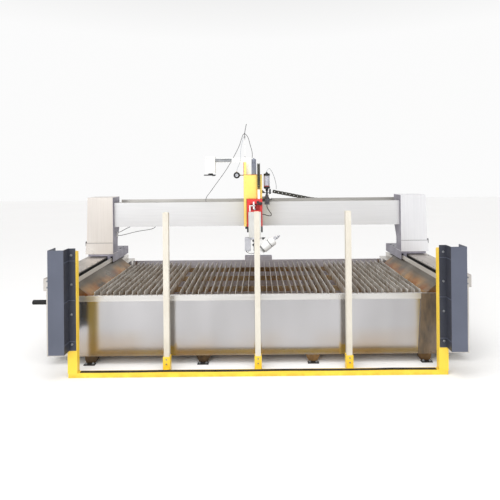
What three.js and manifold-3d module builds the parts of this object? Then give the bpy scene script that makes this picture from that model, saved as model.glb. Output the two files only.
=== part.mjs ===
// Gantry waterjet machine for cutting stone slabs: a stainless catch tank with slats, two side
// beams with covered rails, a travelling gantry, a carriage with a vertical slide and a five-axis
// cutting head, and in front a toe bar with rest posts for the slab and guard panels.
// Millimetres. X runs along the toe bar, Y from the toe bar towards the machine, Z up.
// The origin is the middle of the toe bar's underside.
import * as THREE from "three";
import { mergeVertices } from "three/addons/utils/BufferGeometryUtils.js";
import Module from "manifold-3d";

const wasm = await Module();
wasm.setup();

// ---------------------------------------------------------------- driving dimensions
const GAP = 0.3; // between pieces that touch
const RUN = 0.6; // between pieces that run past each other closely

// toe bar, rest posts and guards
const TOE = { length: 4000, depth: 60, height: 50 };
const REST = { size: 60, pitch: 990, y: 120, top: 1715, base: 10, fit: 0.5 };
const SOCKET = { wall: 8, height: 160, webWidth: 60, webHeight: 40 };
const GUARD_POST = { width: 100, depth: 60, height: 1275, wall: 5, past: 5 };
const GUARD = { sheet: 5, bottom: 288, top: 1365, flange: 73, inset: 20, width: 165 };
const GUARD_Y = { front: -150, back: 20 };
const GUARD_RIBS = [387, 820, 1234];

// tank
const TANK = { half: 1900, front: 270, length: 1900, bottom: 97, rim: 775, sheet: 6 };
const FRONT_WALL = { flange: 110, rearFlange: 50, lipEnd: 5, lipDepth: 10, lipHeight: 62 };
const APRON = { sheet: 3, ledge: 50, run: 157, rise: 128, strip: 56, rear: 330 };
const WEIR = { left: -195, right: 233, depth: 120, drop: 125, rise: 51, sheet: 4 };
const LEDGE = { width: 34, height: 15 }; // carries the outer ends of the comb bars
const FOOT = { inner: 620, outerInset: 5, bottom: 90, top: 180, length: 100, inset: 30 };

// slats and what carries them
const SLAT = { thick: 3, height: 100, pitch: 70, rise: 40, inset: 20, rear: 280, margin: 45 };
const COMB = { width: 12, height: 60, bite: 1, count: 4, inset: 10 };
const BANK_GAP = 2; // half the gap between two banks of slats
const BED_RAIL = { x: 940, width: 50, height: 60, legs: 3, legInset: 120 };

// side beams, rails and covers
const BESIDE = { tank: 65, apron: 9, rim: 15, top: 75 }; // from the tank to the side beam
const SIDE_WIDTH = 415;
const SIDE_BOTTOM = 95;
const SIDE_Y = { front: 280, past: 130, end: 6 };
const SIDE_WALL = 10;
const PAD = { radius: 55, inset: 160 };
const COVER = { sheet: 3, past: 30, rise: 122, lip: 22, skirt: 140, clear: 12 };
const RAIL = { width: 35, height: 35, inset: 130, end: 45 };
const RACK = { width: 25, height: 45 };
const PINION = { radius: 28, height: 44, shaft: 10, y: 125 };

// gantry: saddles, legs and drive motors; its front face is at GANTRY_Y. Everything on the
// saddles is drawn for saddles this high, and is carried up or down with them.
const GANTRY_DRAWN = 1015;
const GANTRY_Y = 1475;
const SADDLE = { length: 695, inset: 27, skirt: 6, plate: 25, lift: 65, hang: 15, clear: 13 };
const SADDLE_TOP = 30;
const SADDLE_PLATE_INSET = 10;
const SHAFT_WAY = { clear: 7, neck: 30 }; // room for the pinion's shaft and for its teeth
const BLOCK = { width: 100, length: 120, end: 15, lift: 18 };
const NECK = { width: 42, clear: 10 };
const LEG = { top: 1813, wall: 6, inset: 2, bottomOut: 40, stepOut: 22, topOut: 5 };
const LEG_Z = { step: 1172, waist: 1200, knee: 1390 };
const LEG_DEPTH = { foot: 200, head: 295, skirt: 6 };
const MOTOR = { size: 90, height: 225 };

// gantry beam, the cover in front of it, its rails and the trough behind it
const BEAM = { y: 1660, depth: 200, bottom: 1411, height: 302, wall: 10 };
const BEAM_COVER = { y: 1530, lip: 40, bottom: 1391, top: 1733, sheet: 3 };
const BEAM_RAIL = { width: 35, height: 28, low: 1470, high: 1655 };
const BEAM_RACK = { width: 45, depth: 22, z: 1562 };
const TROUGH = { width: 220, bottom: 1500, front: 1760, back: 1600, sheet: 3, short: 80 };

// carriage and what is on it
const CARRIAGE_BLOCK = { length: 90, height: 90, tip: 10 };
const CHAIN_ARM = { sheet: 11, width: 40, clear: 4, lug: 70, rise: 30 };
const CARRIAGE = { left: -165, right: 75, front: 1495, back: 1602, plate: 24, low: 1350, high: 1766 };
const COLUMN = { left: -172, right: 75, front: 1200, sheet: 6, bottom: 1420, top: 2288 };
const COLUMN_PLATE = { bottom: 1797, top: 2120, right: 2118 };
const Z_MOTOR = { left: -68, size: 68, y: 1256, height: 225 };
const ARM = { left: -559.5, right: -78, y: 1270, depth: 40, height: 60, footLeft: -155 };
const MAST = { diameter: 7 };
const VISION = { width: 130, depth: 130, bottom: 2140, top: 2362, plate: 14, drop: 30 };
const GAUGE = { radius: 43.5, depth: 38, x: -265, y: 1200, z: 2112, stem: 7 };
const HOPPER = { radius: 39, cap: 43, x: 140, y: 1250, bottom: 1926, height: 206 };
const VALVE = { width: 70, depth: 70, bottom: 1710, height: 120 };
const CHAIN = { height: 50, width: 60, y: 1995, radius: 95, low: 1535, start: 226, dip: 830 };
const CHAIN_START_Z = 1862;
const CHAIN_BEND_X = 1630;
const CHAIN_TRAVEL = 700; // how far the bend can still move to the right in its trough
const CHAIN_LUG = { depth: 26, clear: 8 };
const Z_CHAIN = { left: 10, width: 40, depth: 46, bottom: 1920, top: 2275 };

// vertical slide and cutting head
const RAM = { left: -110, width: 165, depth: 97, bottom: 1287, top: 1625 };
const FRAME = { side: 20, depth: 74, bottom: 1353, top: 1793, fit: 2 };
const TIP = { z: 1050, tilt: 38 }; // nozzle tip height, and the tilt axis above the horizontal
const FLANGE = { radius: 75, height: 22 };
const HEAD_BOX = { width: 78, depth: 70, offset: 135, bottom: 1107 };
const TILT_MOTOR = { radius: 62, start: 115, length: 215, plug: 20 };
const HOLDER = { thick: 14, low: -45, high: 125, width: 60 };
const CUT_VALVE = { radius: 22, bottom: 55, top: 185, tip: 6 };

// side handle
const HANDLE = { radius: 27, length: 158, drop: 154, y: 320, collar: 20, collarLength: 14 };

// ---------------------------------------------------------------- worked out from them
// Half widths, from the tank outwards; each strip starts a clearance beyond the one before.
const apronOut = TANK.half + APRON.run + APRON.sheet;
const sideInner = TANK.half + BESIDE.tank;
const sideStep = TANK.half + APRON.run + BESIDE.apron;
const sideOuter = sideInner + SIDE_WIDTH;
const neckInner = apronOut + NECK.clear;
const neckOuter = neckInner + NECK.width;
const coverInner = neckOuter + COVER.clear;
const coverOuter = sideOuter + COVER.past;
const railX = sideOuter - RAIL.inset;
const pinionX = (neckInner + neckOuter) / 2 + 2;
const saddleInner = TANK.half + APRON.run - SADDLE.inset;
const saddleOuter = sideOuter + 1;
const legInner = saddleInner + LEG.inset;

// Heights, from the tank's rim upwards.
const slatTop = TANK.rim + SLAT.rise;
const sideTop = TANK.rim + BESIDE.top;
const coverTop = sideTop + COVER.rise;
const saddleBase = sideTop + SADDLE.lift;
const saddleLid = coverTop + SADDLE.clear;
const saddleTop = saddleLid + SADDLE_TOP;
const lift = saddleTop - GANTRY_DRAWN;
const weirTop = TANK.rim + WEIR.rise;
const tankBack = TANK.front + TANK.length;
const sideBack = tankBack + SIDE_Y.past;
const postOuter = TOE.length / 2 + GUARD_POST.past;

// ---------------------------------------------------------------- materials
const paint = (color, roughness, metalness = 0) =>
  new THREE.MeshStandardMaterial({ color, roughness, metalness });
const STAINLESS = paint(0xcfccc8, 0.32, 1);
const SATIN = paint(0xdddad6, 0.45, 1);
const DARK_STEEL = paint(0x6e6b6a, 0.5, 1);
const YELLOW = paint(0xf2c832, 0.45);
const SLATE = paint(0x5b5f6d, 0.5);
const CREAM = paint(0xefebe0, 0.6);
const RED = paint(0xe03a36, 0.4);
const WHITE = paint(0xf1f1ef, 0.45);
const GREY = paint(0xb9bcbf, 0.5);
const BLACK = paint(0x1c1c1e, 0.55);
const CLEAR = paint(0xdfe6e8, 0.15);

// ---------------------------------------------------------------- geometry helpers
const object = new THREE.Group();
object.name = "waterjet_slab_saw";

function add(name, geometry, material) {
  const mesh = new THREE.Mesh(geometry, material);
  mesh.name = name;
  object.add(mesh);
}

// Adds a piece that the saddles carry.
const addAloft = (name, geometry, material) =>
  add(name, geometry.clone().translate(0, 0, lift), material);

function block(x0, x1, y0, y1, z0, z1) {
  const box = new THREE.BoxGeometry(x1 - x0, y1 - y0, z1 - z0);
  return box.translate((x0 + x1) / 2, (y0 + y1) / 2, (z0 + z1) / 2);
}

function outlineOf(points) {
  return new THREE.Shape(points.map(([u, v]) => new THREE.Vector2(u, v)));
}

const extruded = (points, depth) =>
  new THREE.ExtrudeGeometry(outlineOf(points), { depth, bevelEnabled: false });

// An outline in (x, z), carried along Y.
function alongY(points, y0, y1) {
  return extruded(points, y1 - y0).rotateX(Math.PI / 2).translate(0, y1, 0);
}

// An outline in (y, z), carried along X.
function alongX(points, x0, x1) {
  const turn = new THREE.Matrix4().makeBasis(
    new THREE.Vector3(0, 1, 0),
    new THREE.Vector3(0, 0, 1),
    new THREE.Vector3(1, 0, 0),
  );
  return extruded(points, x1 - x0).applyMatrix4(turn).translate(x0, 0, 0);
}

// An outline in (x, y), carried along Z.
const alongZ = (points, z0, z1) => extruded(points, z1 - z0).translate(0, 0, z0);

// A folded sheet's outline: the path, and the path moved to its left by the sheet's thickness.
function sheetOutline(path, thickness) {
  const at = path.map(([u, v]) => new THREE.Vector2(u, v));
  const normals = at.slice(1).map((p, i) => {
    const d = p.clone().sub(at[i]).normalize();
    return new THREE.Vector2(-d.y, d.x);
  });
  const moved = at.map((p, i) => {
    const a = normals[Math.max(i - 1, 0)];
    const b = normals[Math.min(i, normals.length - 1)];
    const mitre = a.clone().add(b).multiplyScalar(thickness / (1 + a.dot(b)));
    return p.clone().add(mitre);
  });
  return [...at, ...moved.reverse()].map((p) => [p.x, p.y]);
}

// A round bar from point a to point b, with a second radius for a cone.
function bar(a, b, radius, sides = 16, endRadius = radius) {
  const from = new THREE.Vector3(...a);
  const way = new THREE.Vector3(...b).sub(from);
  const length = way.length();
  const body = new THREE.CylinderGeometry(endRadius, radius, length, sides);
  const up = new THREE.Vector3(0, 1, 0);
  const turn = new THREE.Quaternion().setFromUnitVectors(up, way.normalize());
  return body.translate(0, length / 2, 0).applyQuaternion(turn).translate(...a);
}

// A round cord along a smooth curve through the points.
const CORD_SIDES = 8;
function cord(points, diameter, steps) {
  const curve = new THREE.CatmullRomCurve3(points.map((p) => new THREE.Vector3(...p)));
  const round = Array.from({ length: CORD_SIDES }, (_, i) => {
    const angle = (i / CORD_SIDES) * 2 * Math.PI;
    return [(Math.cos(angle) * diameter) / 2, (Math.sin(angle) * diameter) / 2];
  });
  return new THREE.ExtrudeGeometry(outlineOf(round), { steps, extrudePath: curve });
}

function solidOf(geometry) {
  const bare = geometry.clone();
  bare.deleteAttribute("normal");
  bare.deleteAttribute("uv");
  const merged = mergeVertices(bare, 1e-3);
  const mesh = new wasm.Mesh({
    numProp: 3,
    vertProperties: new Float32Array(merged.attributes.position.array),
    triVerts: new Uint32Array(merged.index.array),
  });
  return new wasm.Manifold(mesh);
}

function geometryOf(solid) {
  const mesh = solid.getMesh();
  const position = new THREE.BufferAttribute(mesh.vertProperties, 3);
  const index = new THREE.BufferAttribute(mesh.triVerts, 1);
  return new THREE.BufferGeometry().setAttribute("position", position).setIndex(index);
}

const joined = (...pieces) =>
  geometryOf(pieces.map(solidOf).reduce((whole, piece) => whole.add(piece)));
const cut = (piece, ...tools) =>
  geometryOf(tools.map(solidOf).reduce((whole, tool) => whole.subtract(tool), solidOf(piece)));
const common = (a, b) => geometryOf(solidOf(a).intersect(solidOf(b)));

// The same piece on the other side of X = 0, with its faces still pointing out.
function mirrored(geometry) {
  const flipped = (geometry.index ? geometry.toNonIndexed() : geometry.clone()).scale(-1, 1, 1);
  const p = flipped.attributes.position;
  for (let i = 0; i < p.count; i += 3) {
    const b = [p.getX(i + 1), p.getY(i + 1), p.getZ(i + 1)];
    p.setXYZ(i + 1, p.getX(i + 2), p.getY(i + 2), p.getZ(i + 2));
    p.setXYZ(i + 2, ...b);
  }
  return flipped;
}

// Each piece of the right-hand side, and the same piece mirrored on the left.
function addPair(name, geometry, material) {
  add(`${name}_right`, geometry, material);
  add(`${name}_left`, mirrored(geometry), material);
}

// ---------------------------------------------------------------- toe bar and rest posts
const restSpots = { left: -REST.pitch, centre: 0, right: REST.pitch };
const socketHalf = REST.size / 2 + REST.fit + SOCKET.wall;
const toeBack = TOE.depth / 2;

function socket(x) {
  const half = REST.size / 2 + REST.fit;
  const outer = block(
    x - socketHalf, x + socketHalf, REST.y - socketHalf, REST.y + socketHalf, 0, SOCKET.height,
  );
  const hole = block(
    x - half, x + half, REST.y - half, REST.y + half, REST.base - GAP, SOCKET.height + 1,
  );
  const web = block(
    x - SOCKET.webWidth / 2, x + SOCKET.webWidth / 2,
    toeBack - 1, REST.y - socketHalf + 1, 0, SOCKET.webHeight,
  );
  return joined(cut(outer, hole), web);
}

const toeBar = block(-TOE.length / 2, TOE.length / 2, -toeBack, toeBack, 0, TOE.height);
add("toe_bar", joined(toeBar, ...Object.values(restSpots).map(socket)), YELLOW);

for (const [side, x] of Object.entries(restSpots)) {
  const half = REST.size / 2;
  const post = block(x - half, x + half, REST.y - half, REST.y + half, REST.base, REST.top);
  add(`rest_post_${side}`, post, CREAM);
}

// ---------------------------------------------------------------- guards
function guardPost() {
  const inner = postOuter - GUARD_POST.width;
  const bottom = TOE.height + GAP;
  const top = TOE.height + GUARD_POST.height;
  const half = GUARD_POST.depth / 2;
  const wall = GUARD_POST.wall;
  return cut(
    block(inner, postOuter, -half, half, bottom, top),
    block(inner + wall, postOuter - wall, -half + wall, half - wall, bottom - 1, top - wall),
  );
}
addPair("guard_post", guardPost(), YELLOW);

function guardPanel() {
  const face = -GUARD_POST.depth / 2 - GAP;
  const fold = postOuter - GUARD.inset;
  const outer = fold + GUARD.width;
  const path = [
    [fold - GUARD.flange, face - GUARD.sheet],
    [fold, face - GUARD.sheet],
    [fold, GUARD_Y.front],
    [outer, GUARD_Y.front],
    [outer, GUARD_Y.back],
  ];
  const shell = alongZ(sheetOutline(path, GUARD.sheet), GUARD.bottom, GUARD.top);
  const ribs = GUARD_RIBS.map((z) =>
    block(
      fold + 1, outer - 1, GUARD_Y.front + 1, face - GUARD.sheet,
      z - GUARD.sheet / 2, z + GUARD.sheet / 2,
    ),
  );
  return joined(shell, ...ribs);
}
addPair("guard_panel", guardPanel(), SLATE);

// ---------------------------------------------------------------- tank
const tankInFront = TANK.front + TANK.sheet + GAP;
const tankInBack = tankBack - TANK.sheet - GAP;
const frontHalf = TANK.half + FRONT_WALL.flange;
const lipHalf = frontHalf - FRONT_WALL.lipEnd;

const frontSheet = block(
  -frontHalf, frontHalf, TANK.front, TANK.front + TANK.sheet, TANK.bottom, TANK.rim,
);
const frontLip = block(
  -lipHalf, lipHalf, TANK.front - FRONT_WALL.lipDepth, TANK.front + 1,
  TANK.rim - FRONT_WALL.lipHeight, TANK.rim,
);
add("tank_front", joined(frontSheet, frontLip), STAINLESS);

function weirBox() {
  const y0 = tankBack - 1;
  const y1 = tankBack + WEIR.depth;
  const s = WEIR.sheet;
  return cut(
    block(WEIR.left, WEIR.right, y0, y1, TANK.rim - WEIR.drop, weirTop),
    block(WEIR.left + s, WEIR.right - s, y0 + s, y1 - s, TANK.rim - WEIR.drop + s, weirTop + 1),
  );
}
const rearHalf = TANK.half + FRONT_WALL.rearFlange;
const rearSheet = block(
  -rearHalf, rearHalf, tankBack - TANK.sheet, tankBack, TANK.bottom, TANK.rim,
);
add("tank_rear", joined(rearSheet, weirBox()), STAINLESS);

// Side wall, the ledge on its inside and the folded apron on its rim with the gable that closes
// its front end, as one welded piece. The apron stops short of the rear, beside the parked gantry.
const ledgeTop = slatTop - SLAT.height + COMB.bite - COMB.height - GAP;
const apronTopX = TANK.half + APRON.run + APRON.sheet / 2;
const apronTopZ = TANK.rim + APRON.rise + APRON.strip + APRON.sheet;

function tankSide() {
  const x0 = TANK.half - TANK.sheet;
  const wall = block(x0, TANK.half, tankInFront, tankInBack, TANK.bottom, TANK.rim + 1);
  const ledge = block(
    x0 - LEDGE.width, x0 + 1, tankInFront, tankInBack, ledgeTop - LEDGE.height, ledgeTop,
  );
  const path = [
    [TANK.half - APRON.ledge, TANK.rim],
    [TANK.half, TANK.rim],
    [apronTopX, TANK.rim + APRON.rise],
    [apronTopX, apronTopZ],
  ];
  const apron = alongY(sheetOutline(path, APRON.sheet), tankInFront, tankInBack - APRON.rear);
  const gable = alongY(
    [
      [TANK.half, TANK.rim], [apronTopX, TANK.rim], [apronTopX, TANK.rim + APRON.rise + 1],
      [TANK.half, TANK.rim + 1],
    ],
    tankInFront, tankInFront + APRON.sheet,
  );
  return joined(wall, ledge, apron, gable);
}
addPair("tank_side", tankSide(), STAINLESS);

// A foot flares upwards from its floor plate and is welded under the tank's floor.
function foot(x, y) {
  const low = FOOT.bottom / 2;
  const high = FOOT.top / 2;
  const under = TANK.bottom + 1;
  const outline = [[x - low, 0], [x + low, 0], [x + high, under], [x - high, under]];
  return alongY(outline, y, y + FOOT.length);
}

const floorHalf = TANK.half - TANK.sheet - GAP;
const footLimit = sideInner - 5;
const footRows = [tankInFront + FOOT.inset, tankInBack - FOOT.inset - FOOT.length];
const feet = [FOOT.inner, TANK.half - FOOT.outerInset].flatMap((x) =>
  footRows.flatMap((y) => [foot(x, y), foot(-x, y)]),
);
const floorPlate = block(
  -floorHalf, floorHalf, tankInFront, tankInBack, TANK.bottom, TANK.bottom + TANK.sheet,
);
const clearOfWalls = [-1, 1].map((s) => {
  const [a, b] = [s * (floorHalf - 4), s * (footLimit + 200)].sort((p, q) => p - q);
  return block(a, b, 0, tankBack, TANK.bottom - GAP, TANK.bottom + 40);
});
const beyondBeams = [-1, 1].map((s) => {
  const [a, b] = [s * footLimit, s * (footLimit + 200)].sort((p, q) => p - q);
  return block(a, b, 0, tankBack, -1, TANK.bottom + 40);
});
const feetCut = cut(joined(...feet, floorPlate), ...clearOfWalls, ...beyondBeams);
add("tank_floor", feetCut, BLACK);

// ---------------------------------------------------------------- slats and bed rails
const slatFront = TANK.front + SLAT.inset;
const slatLength = TANK.length - SLAT.inset - SLAT.rear;
const combTop = slatTop - SLAT.height + COMB.bite;

// As many slats as fit between two ends at the pitch, centred, and the comb bars under them.
function slatBank(from, to) {
  const count = Math.floor((to - from - 2 * SLAT.margin) / SLAT.pitch) + 1;
  const slats = Array.from({ length: count }, (_, i) => {
    const x = (from + to) / 2 + (i - (count - 1) / 2) * SLAT.pitch;
    return block(
      x - SLAT.thick / 2, x + SLAT.thick / 2, slatFront, slatFront + slatLength,
      slatTop - SLAT.height, slatTop,
    );
  });
  const combs = Array.from({ length: COMB.count }, (_, i) => {
    const share = i / (COMB.count - 1);
    const y = slatFront + COMB.inset + share * (slatLength - 2 * COMB.inset);
    return block(from, to, y - COMB.width / 2, y + COMB.width / 2, combTop - COMB.height, combTop);
  });
  return joined(...combs, ...slats);
}

const centreHalf = BED_RAIL.x - BANK_GAP;
add("slats_centre", slatBank(-centreHalf, centreHalf), DARK_STEEL);
const sideFrom = BED_RAIL.x + BANK_GAP;
const sideTo = TANK.half - TANK.sheet - GAP;
addPair("slats", slatBank(sideFrom, sideTo), DARK_STEEL);

function bedRail() {
  const half = BED_RAIL.width / 2;
  const top = combTop - COMB.height - GAP;
  const bar = block(
    BED_RAIL.x - half, BED_RAIL.x + half, tankInFront + 4, tankInBack - 4,
    top - BED_RAIL.height, top,
  );
  const legs = Array.from({ length: BED_RAIL.legs }, (_, i) => {
    const span = tankInBack - tankInFront - 2 * BED_RAIL.legInset;
    const y = tankInFront + BED_RAIL.legInset + (i / (BED_RAIL.legs - 1)) * span;
    return block(
      BED_RAIL.x - half, BED_RAIL.x + half, y - half, y + half,
      TANK.bottom + TANK.sheet + GAP, top - BED_RAIL.height + 1,
    );
  });
  return joined(bar, ...legs);
}
addPair("bed_rail", bedRail(), DARK_STEEL);

// ---------------------------------------------------------------- side beams and their rails
function sideBeam() {
  const w = SIDE_WALL;
  const stepZ = TANK.rim + BESIDE.rim;
  const tube = cut(
    alongY(
      [
        [sideInner, SIDE_BOTTOM], [sideOuter, SIDE_BOTTOM], [sideOuter, sideTop],
        [sideStep, sideTop], [sideStep, stepZ], [sideInner, stepZ],
      ],
      SIDE_Y.front, sideBack,
    ),
    alongY(
      [
        [sideInner + w, SIDE_BOTTOM + w], [sideOuter - w, SIDE_BOTTOM + w],
        [sideOuter - w, sideTop - w], [sideStep + w, sideTop - w],
        [sideStep + w, stepZ - w], [sideInner + w, stepZ - w],
      ],
      SIDE_Y.front + SIDE_Y.end, sideBack + 1,
    ),
  );
  const under = coverTop - COVER.sheet - GAP;
  const end = block(
    coverInner + COVER.sheet + GAP, coverOuter - COVER.sheet - GAP,
    SIDE_Y.front, SIDE_Y.front + SIDE_Y.end, coverTop - COVER.skirt + COVER.sheet + GAP, under,
  );
  const middle = (sideInner + sideOuter) / 2;
  const span = sideBack - SIDE_Y.front - 2 * PAD.inset;
  const pads = [0, 0.5, 1].map((share) => {
    const y = SIDE_Y.front + PAD.inset + share * span;
    return bar([middle, y, 0], [middle, y, SIDE_BOTTOM + 1], PAD.radius, 12);
  });
  return joined(tube, end, ...pads);
}
addPair("side_beam", sideBeam(), STAINLESS);

function railCover() {
  const path = [
    [coverInner, coverTop - COVER.lip],
    [coverInner, coverTop],
    [coverOuter, coverTop],
    [coverOuter, coverTop - COVER.skirt],
    [sideOuter + GAP, coverTop - COVER.skirt],
  ];
  const right = sheetOutline(path, -COVER.sheet);
  return alongY(right.reverse(), SIDE_Y.front, sideBack);
}
addPair("rail_cover", railCover(), SATIN);

const railFront = SIDE_Y.front + RAIL.end;
const railBack = sideBack - RAIL.end;
const onSide = sideTop + GAP;
addPair(
  "rail",
  block(
    railX - RAIL.width / 2, railX + RAIL.width / 2, railFront, railBack,
    onSide, onSide + RAIL.height,
  ),
  GREY,
);
const rackX = pinionX + PINION.radius + RUN;
addPair(
  "rack",
  block(rackX, rackX + RACK.width, railFront, railBack, onSide, onSide + RACK.height),
  DARK_STEEL,
);

// ---------------------------------------------------------------- gantry: saddles and legs
const saddleBack = GANTRY_Y + SADDLE.length;
const pinionY = GANTRY_Y + PINION.y;

function saddle() {
  const plate = block(
    neckInner, sideOuter - SADDLE_PLATE_INSET, GANTRY_Y, saddleBack, saddleBase, saddleBase + SADDLE.plate,
  );
  const neck = block(
    neckInner, neckOuter, GANTRY_Y, saddleBack, saddleBase, saddleLid + 1,
  );
  const top = block(
    saddleInner, saddleOuter, GANTRY_Y, saddleBack, saddleLid, saddleTop,
  );
  const skirt = block(
    saddleInner, saddleInner + SADDLE.skirt, GANTRY_Y, saddleBack, saddleBase - SADDLE.hang,
    saddleLid + 1,
  );
  const railTop = onSide + RAIL.height;
  const starts = [GANTRY_Y + BLOCK.end, saddleBack - BLOCK.end - BLOCK.length];
  const blocks = starts.map((y) =>
    cut(
      block(
        railX - BLOCK.width / 2, railX + BLOCK.width / 2, y, y + BLOCK.length,
        sideTop + BLOCK.lift, saddleBase + 1,
      ),
      block(
        railX - RAIL.width / 2 - RUN, railX + RAIL.width / 2 + RUN, y - 1,
        y + BLOCK.length + 1, sideTop, railTop + RUN,
      ),
    ),
  );
  const half = PINION.shaft + SHAFT_WAY.clear;
  const shaftWay = block(
    pinionX - half, pinionX + half, pinionY - half, pinionY + half,
    saddleBase - 1, saddleTop + 1,
  );
  const neckWay = block(
    neckInner - 1, neckOuter + 1, pinionY - SHAFT_WAY.neck, pinionY + SHAFT_WAY.neck,
    saddleBase + SADDLE.plate, saddleLid,
  );
  return cut(joined(plate, neck, top, skirt, ...blocks), shaftWay, neckWay);
}
addPair("saddle", saddle(), DARK_STEEL);

const legBottom = GANTRY_DRAWN + GAP;
const legBack = GANTRY_Y + LEG_DEPTH.head;

function leg() {
  const footBack = GANTRY_Y + LEG_DEPTH.foot;
  const side = alongX(
    [
      [GANTRY_Y, legBottom], [footBack, legBottom], [footBack, LEG_Z.waist],
      [legBack, LEG_Z.knee], [legBack, LEG.top], [GANTRY_Y, LEG.top],
    ],
    0, sideOuter + LEG.bottomOut + 100,
  );
  const stepOut = sideOuter + LEG.stepOut;
  const face = (inset) => [
    [legInner + inset, legBottom - 2 * inset], [stepOut - inset, legBottom - 2 * inset],
    [stepOut - inset, LEG_Z.step], [sideOuter + LEG.topOut - inset, LEG.top - inset],
    [legInner + inset, LEG.top - inset],
  ];
  const body = common(side, alongY(face(0), GANTRY_Y, legBack));
  const skirt = alongY(
    [
      [legInner, legBottom], [sideOuter + LEG.bottomOut, legBottom],
      [stepOut + LEG_DEPTH.skirt, LEG_Z.step], [legInner, LEG_Z.step],
    ],
    GANTRY_Y - LEG_DEPTH.skirt, footBack,
  );
  const hollow = alongY(face(LEG.wall), GANTRY_Y + LEG.wall, legBack + 1);
  return cut(joined(body, skirt), hollow);
}
addPair("leg", leg().translate(0, 0, lift), SATIN);

const motorHalf = MOTOR.size / 2;
addPair(
  "gantry_motor",
  block(
    pinionX - motorHalf, pinionX + motorHalf, pinionY - motorHalf, pinionY + motorHalf,
    legBottom, legBottom + MOTOR.height,
  ).translate(0, 0, lift),
  BLACK,
);
addPair(
  "pinion",
  joined(
    bar(
      [pinionX, pinionY, sideTop + 4],
      [pinionX, pinionY, sideTop + 4 + PINION.height], PINION.radius, 24,
    ),
    bar([pinionX, pinionY, sideTop + 40], [pinionX, pinionY, saddleTop], PINION.shaft, 12),
  ),
  DARK_STEEL,
);

// ---------------------------------------------------------------- gantry beam
const beamHalf = legInner - 2 - GAP;
const beamTop = BEAM.bottom + BEAM.height;
const beamBack = BEAM.y + BEAM.depth;
addAloft(
  "beam",
  cut(
    block(-beamHalf, beamHalf, BEAM.y, beamBack, BEAM.bottom, beamTop),
    block(
      -beamHalf - 1, beamHalf + 1, BEAM.y + BEAM.wall, beamBack - BEAM.wall,
      BEAM.bottom + BEAM.wall, beamTop - BEAM.wall,
    ),
  ),
  DARK_STEEL,
);

const coverBack = BEAM_COVER.y + BEAM_COVER.lip;
const coverPath = [
  [coverBack, BEAM_COVER.bottom],
  [BEAM_COVER.y, BEAM_COVER.bottom],
  [BEAM_COVER.y, BEAM_COVER.top],
  [coverBack, BEAM_COVER.top],
];
const coverOutline = sheetOutline(coverPath, -BEAM_COVER.sheet).reverse();
addAloft("beam_cover", alongX(coverOutline, -beamHalf, beamHalf), SATIN);

const onBeam = BEAM.y - GAP;
for (const [name, z] of [["lower", BEAM_RAIL.low], ["upper", BEAM_RAIL.high]]) {
  const half = BEAM_RAIL.width / 2;
  const rail = block(-beamHalf, beamHalf, onBeam - BEAM_RAIL.height, onBeam, z - half, z + half);
  addAloft(`beam_rail_${name}`, rail, GREY);
}
const rackHalf = BEAM_RACK.width / 2;
addAloft(
  "beam_rack",
  block(
    -beamHalf, beamHalf, onBeam - BEAM_RACK.depth, onBeam,
    BEAM_RACK.z - rackHalf, BEAM_RACK.z + rackHalf,
  ),
  DARK_STEEL,
);

const troughFront = beamBack + GAP;
const troughRight = CHAIN_BEND_X + CHAIN.radius + CHAIN.height / 2 + CHAIN_TRAVEL;
const troughPath = [
  [troughFront, TROUGH.front],
  [troughFront, TROUGH.bottom],
  [troughFront + TROUGH.width, TROUGH.bottom],
  [troughFront + TROUGH.width, TROUGH.back],
];
addAloft(
  "chain_trough",
  alongX(sheetOutline(troughPath, TROUGH.sheet), TROUGH.short - beamHalf, troughRight),
  DARK_STEEL,
);

// ---------------------------------------------------------------- carriage
function bearingBlock(x, z) {
  const half = CARRIAGE_BLOCK.height / 2;
  const end = x + CARRIAGE_BLOCK.length;
  const railHalf = BEAM_RAIL.width / 2 + RUN;
  const tip = onBeam - CARRIAGE_BLOCK.tip;
  return cut(
    block(x, end, CARRIAGE.back - 1, tip, z - half, z + half),
    block(x - 1, end + 1, onBeam - BEAM_RAIL.height - RUN, tip + 1, z - railHalf, z + railHalf),
  );
}

// A ring round the beam's cover, with its bearing blocks and the arm that leads the chain.
function carriageFrame() {
  const p = CARRIAGE.plate;
  const ring = cut(
    block(
      CARRIAGE.left, CARRIAGE.right, CARRIAGE.front, CARRIAGE.back, CARRIAGE.low, CARRIAGE.high,
    ),
    block(
      CARRIAGE.left - 1, CARRIAGE.right + 1, CARRIAGE.front + p, CARRIAGE.back - p,
      BEAM_COVER.bottom - CHAIN_ARM.sheet, BEAM_COVER.top + CHAIN_ARM.sheet,
    ),
  );
  const blocks = [BEAM_RAIL.low, BEAM_RAIL.high].flatMap((z) => [
    bearingBlock(CARRIAGE.left, z),
    bearingBlock(CARRIAGE.right - CARRIAGE_BLOCK.length, z),
  ]);
  const armBack = CHAIN.y + CHAIN.width / 2 + CHAIN_ARM.clear;
  const lugRight = CHAIN.start - CHAIN_LUG.clear;
  const arm = block(
    CARRIAGE.right - CHAIN_ARM.width, lugRight, CARRIAGE.front, armBack,
    CARRIAGE.high - 1, CARRIAGE.high + CHAIN_ARM.sheet,
  );
  const lug = block(
    lugRight - CHAIN_LUG.depth, lugRight, armBack - CHAIN_ARM.lug, armBack,
    CARRIAGE.high + CHAIN_ARM.sheet - 1, CHAIN_START_Z + CHAIN_ARM.rise,
  );
  return joined(ring, ...blocks, arm, lug);
}
addAloft("carriage_frame", carriageFrame(), DARK_STEEL);

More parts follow.
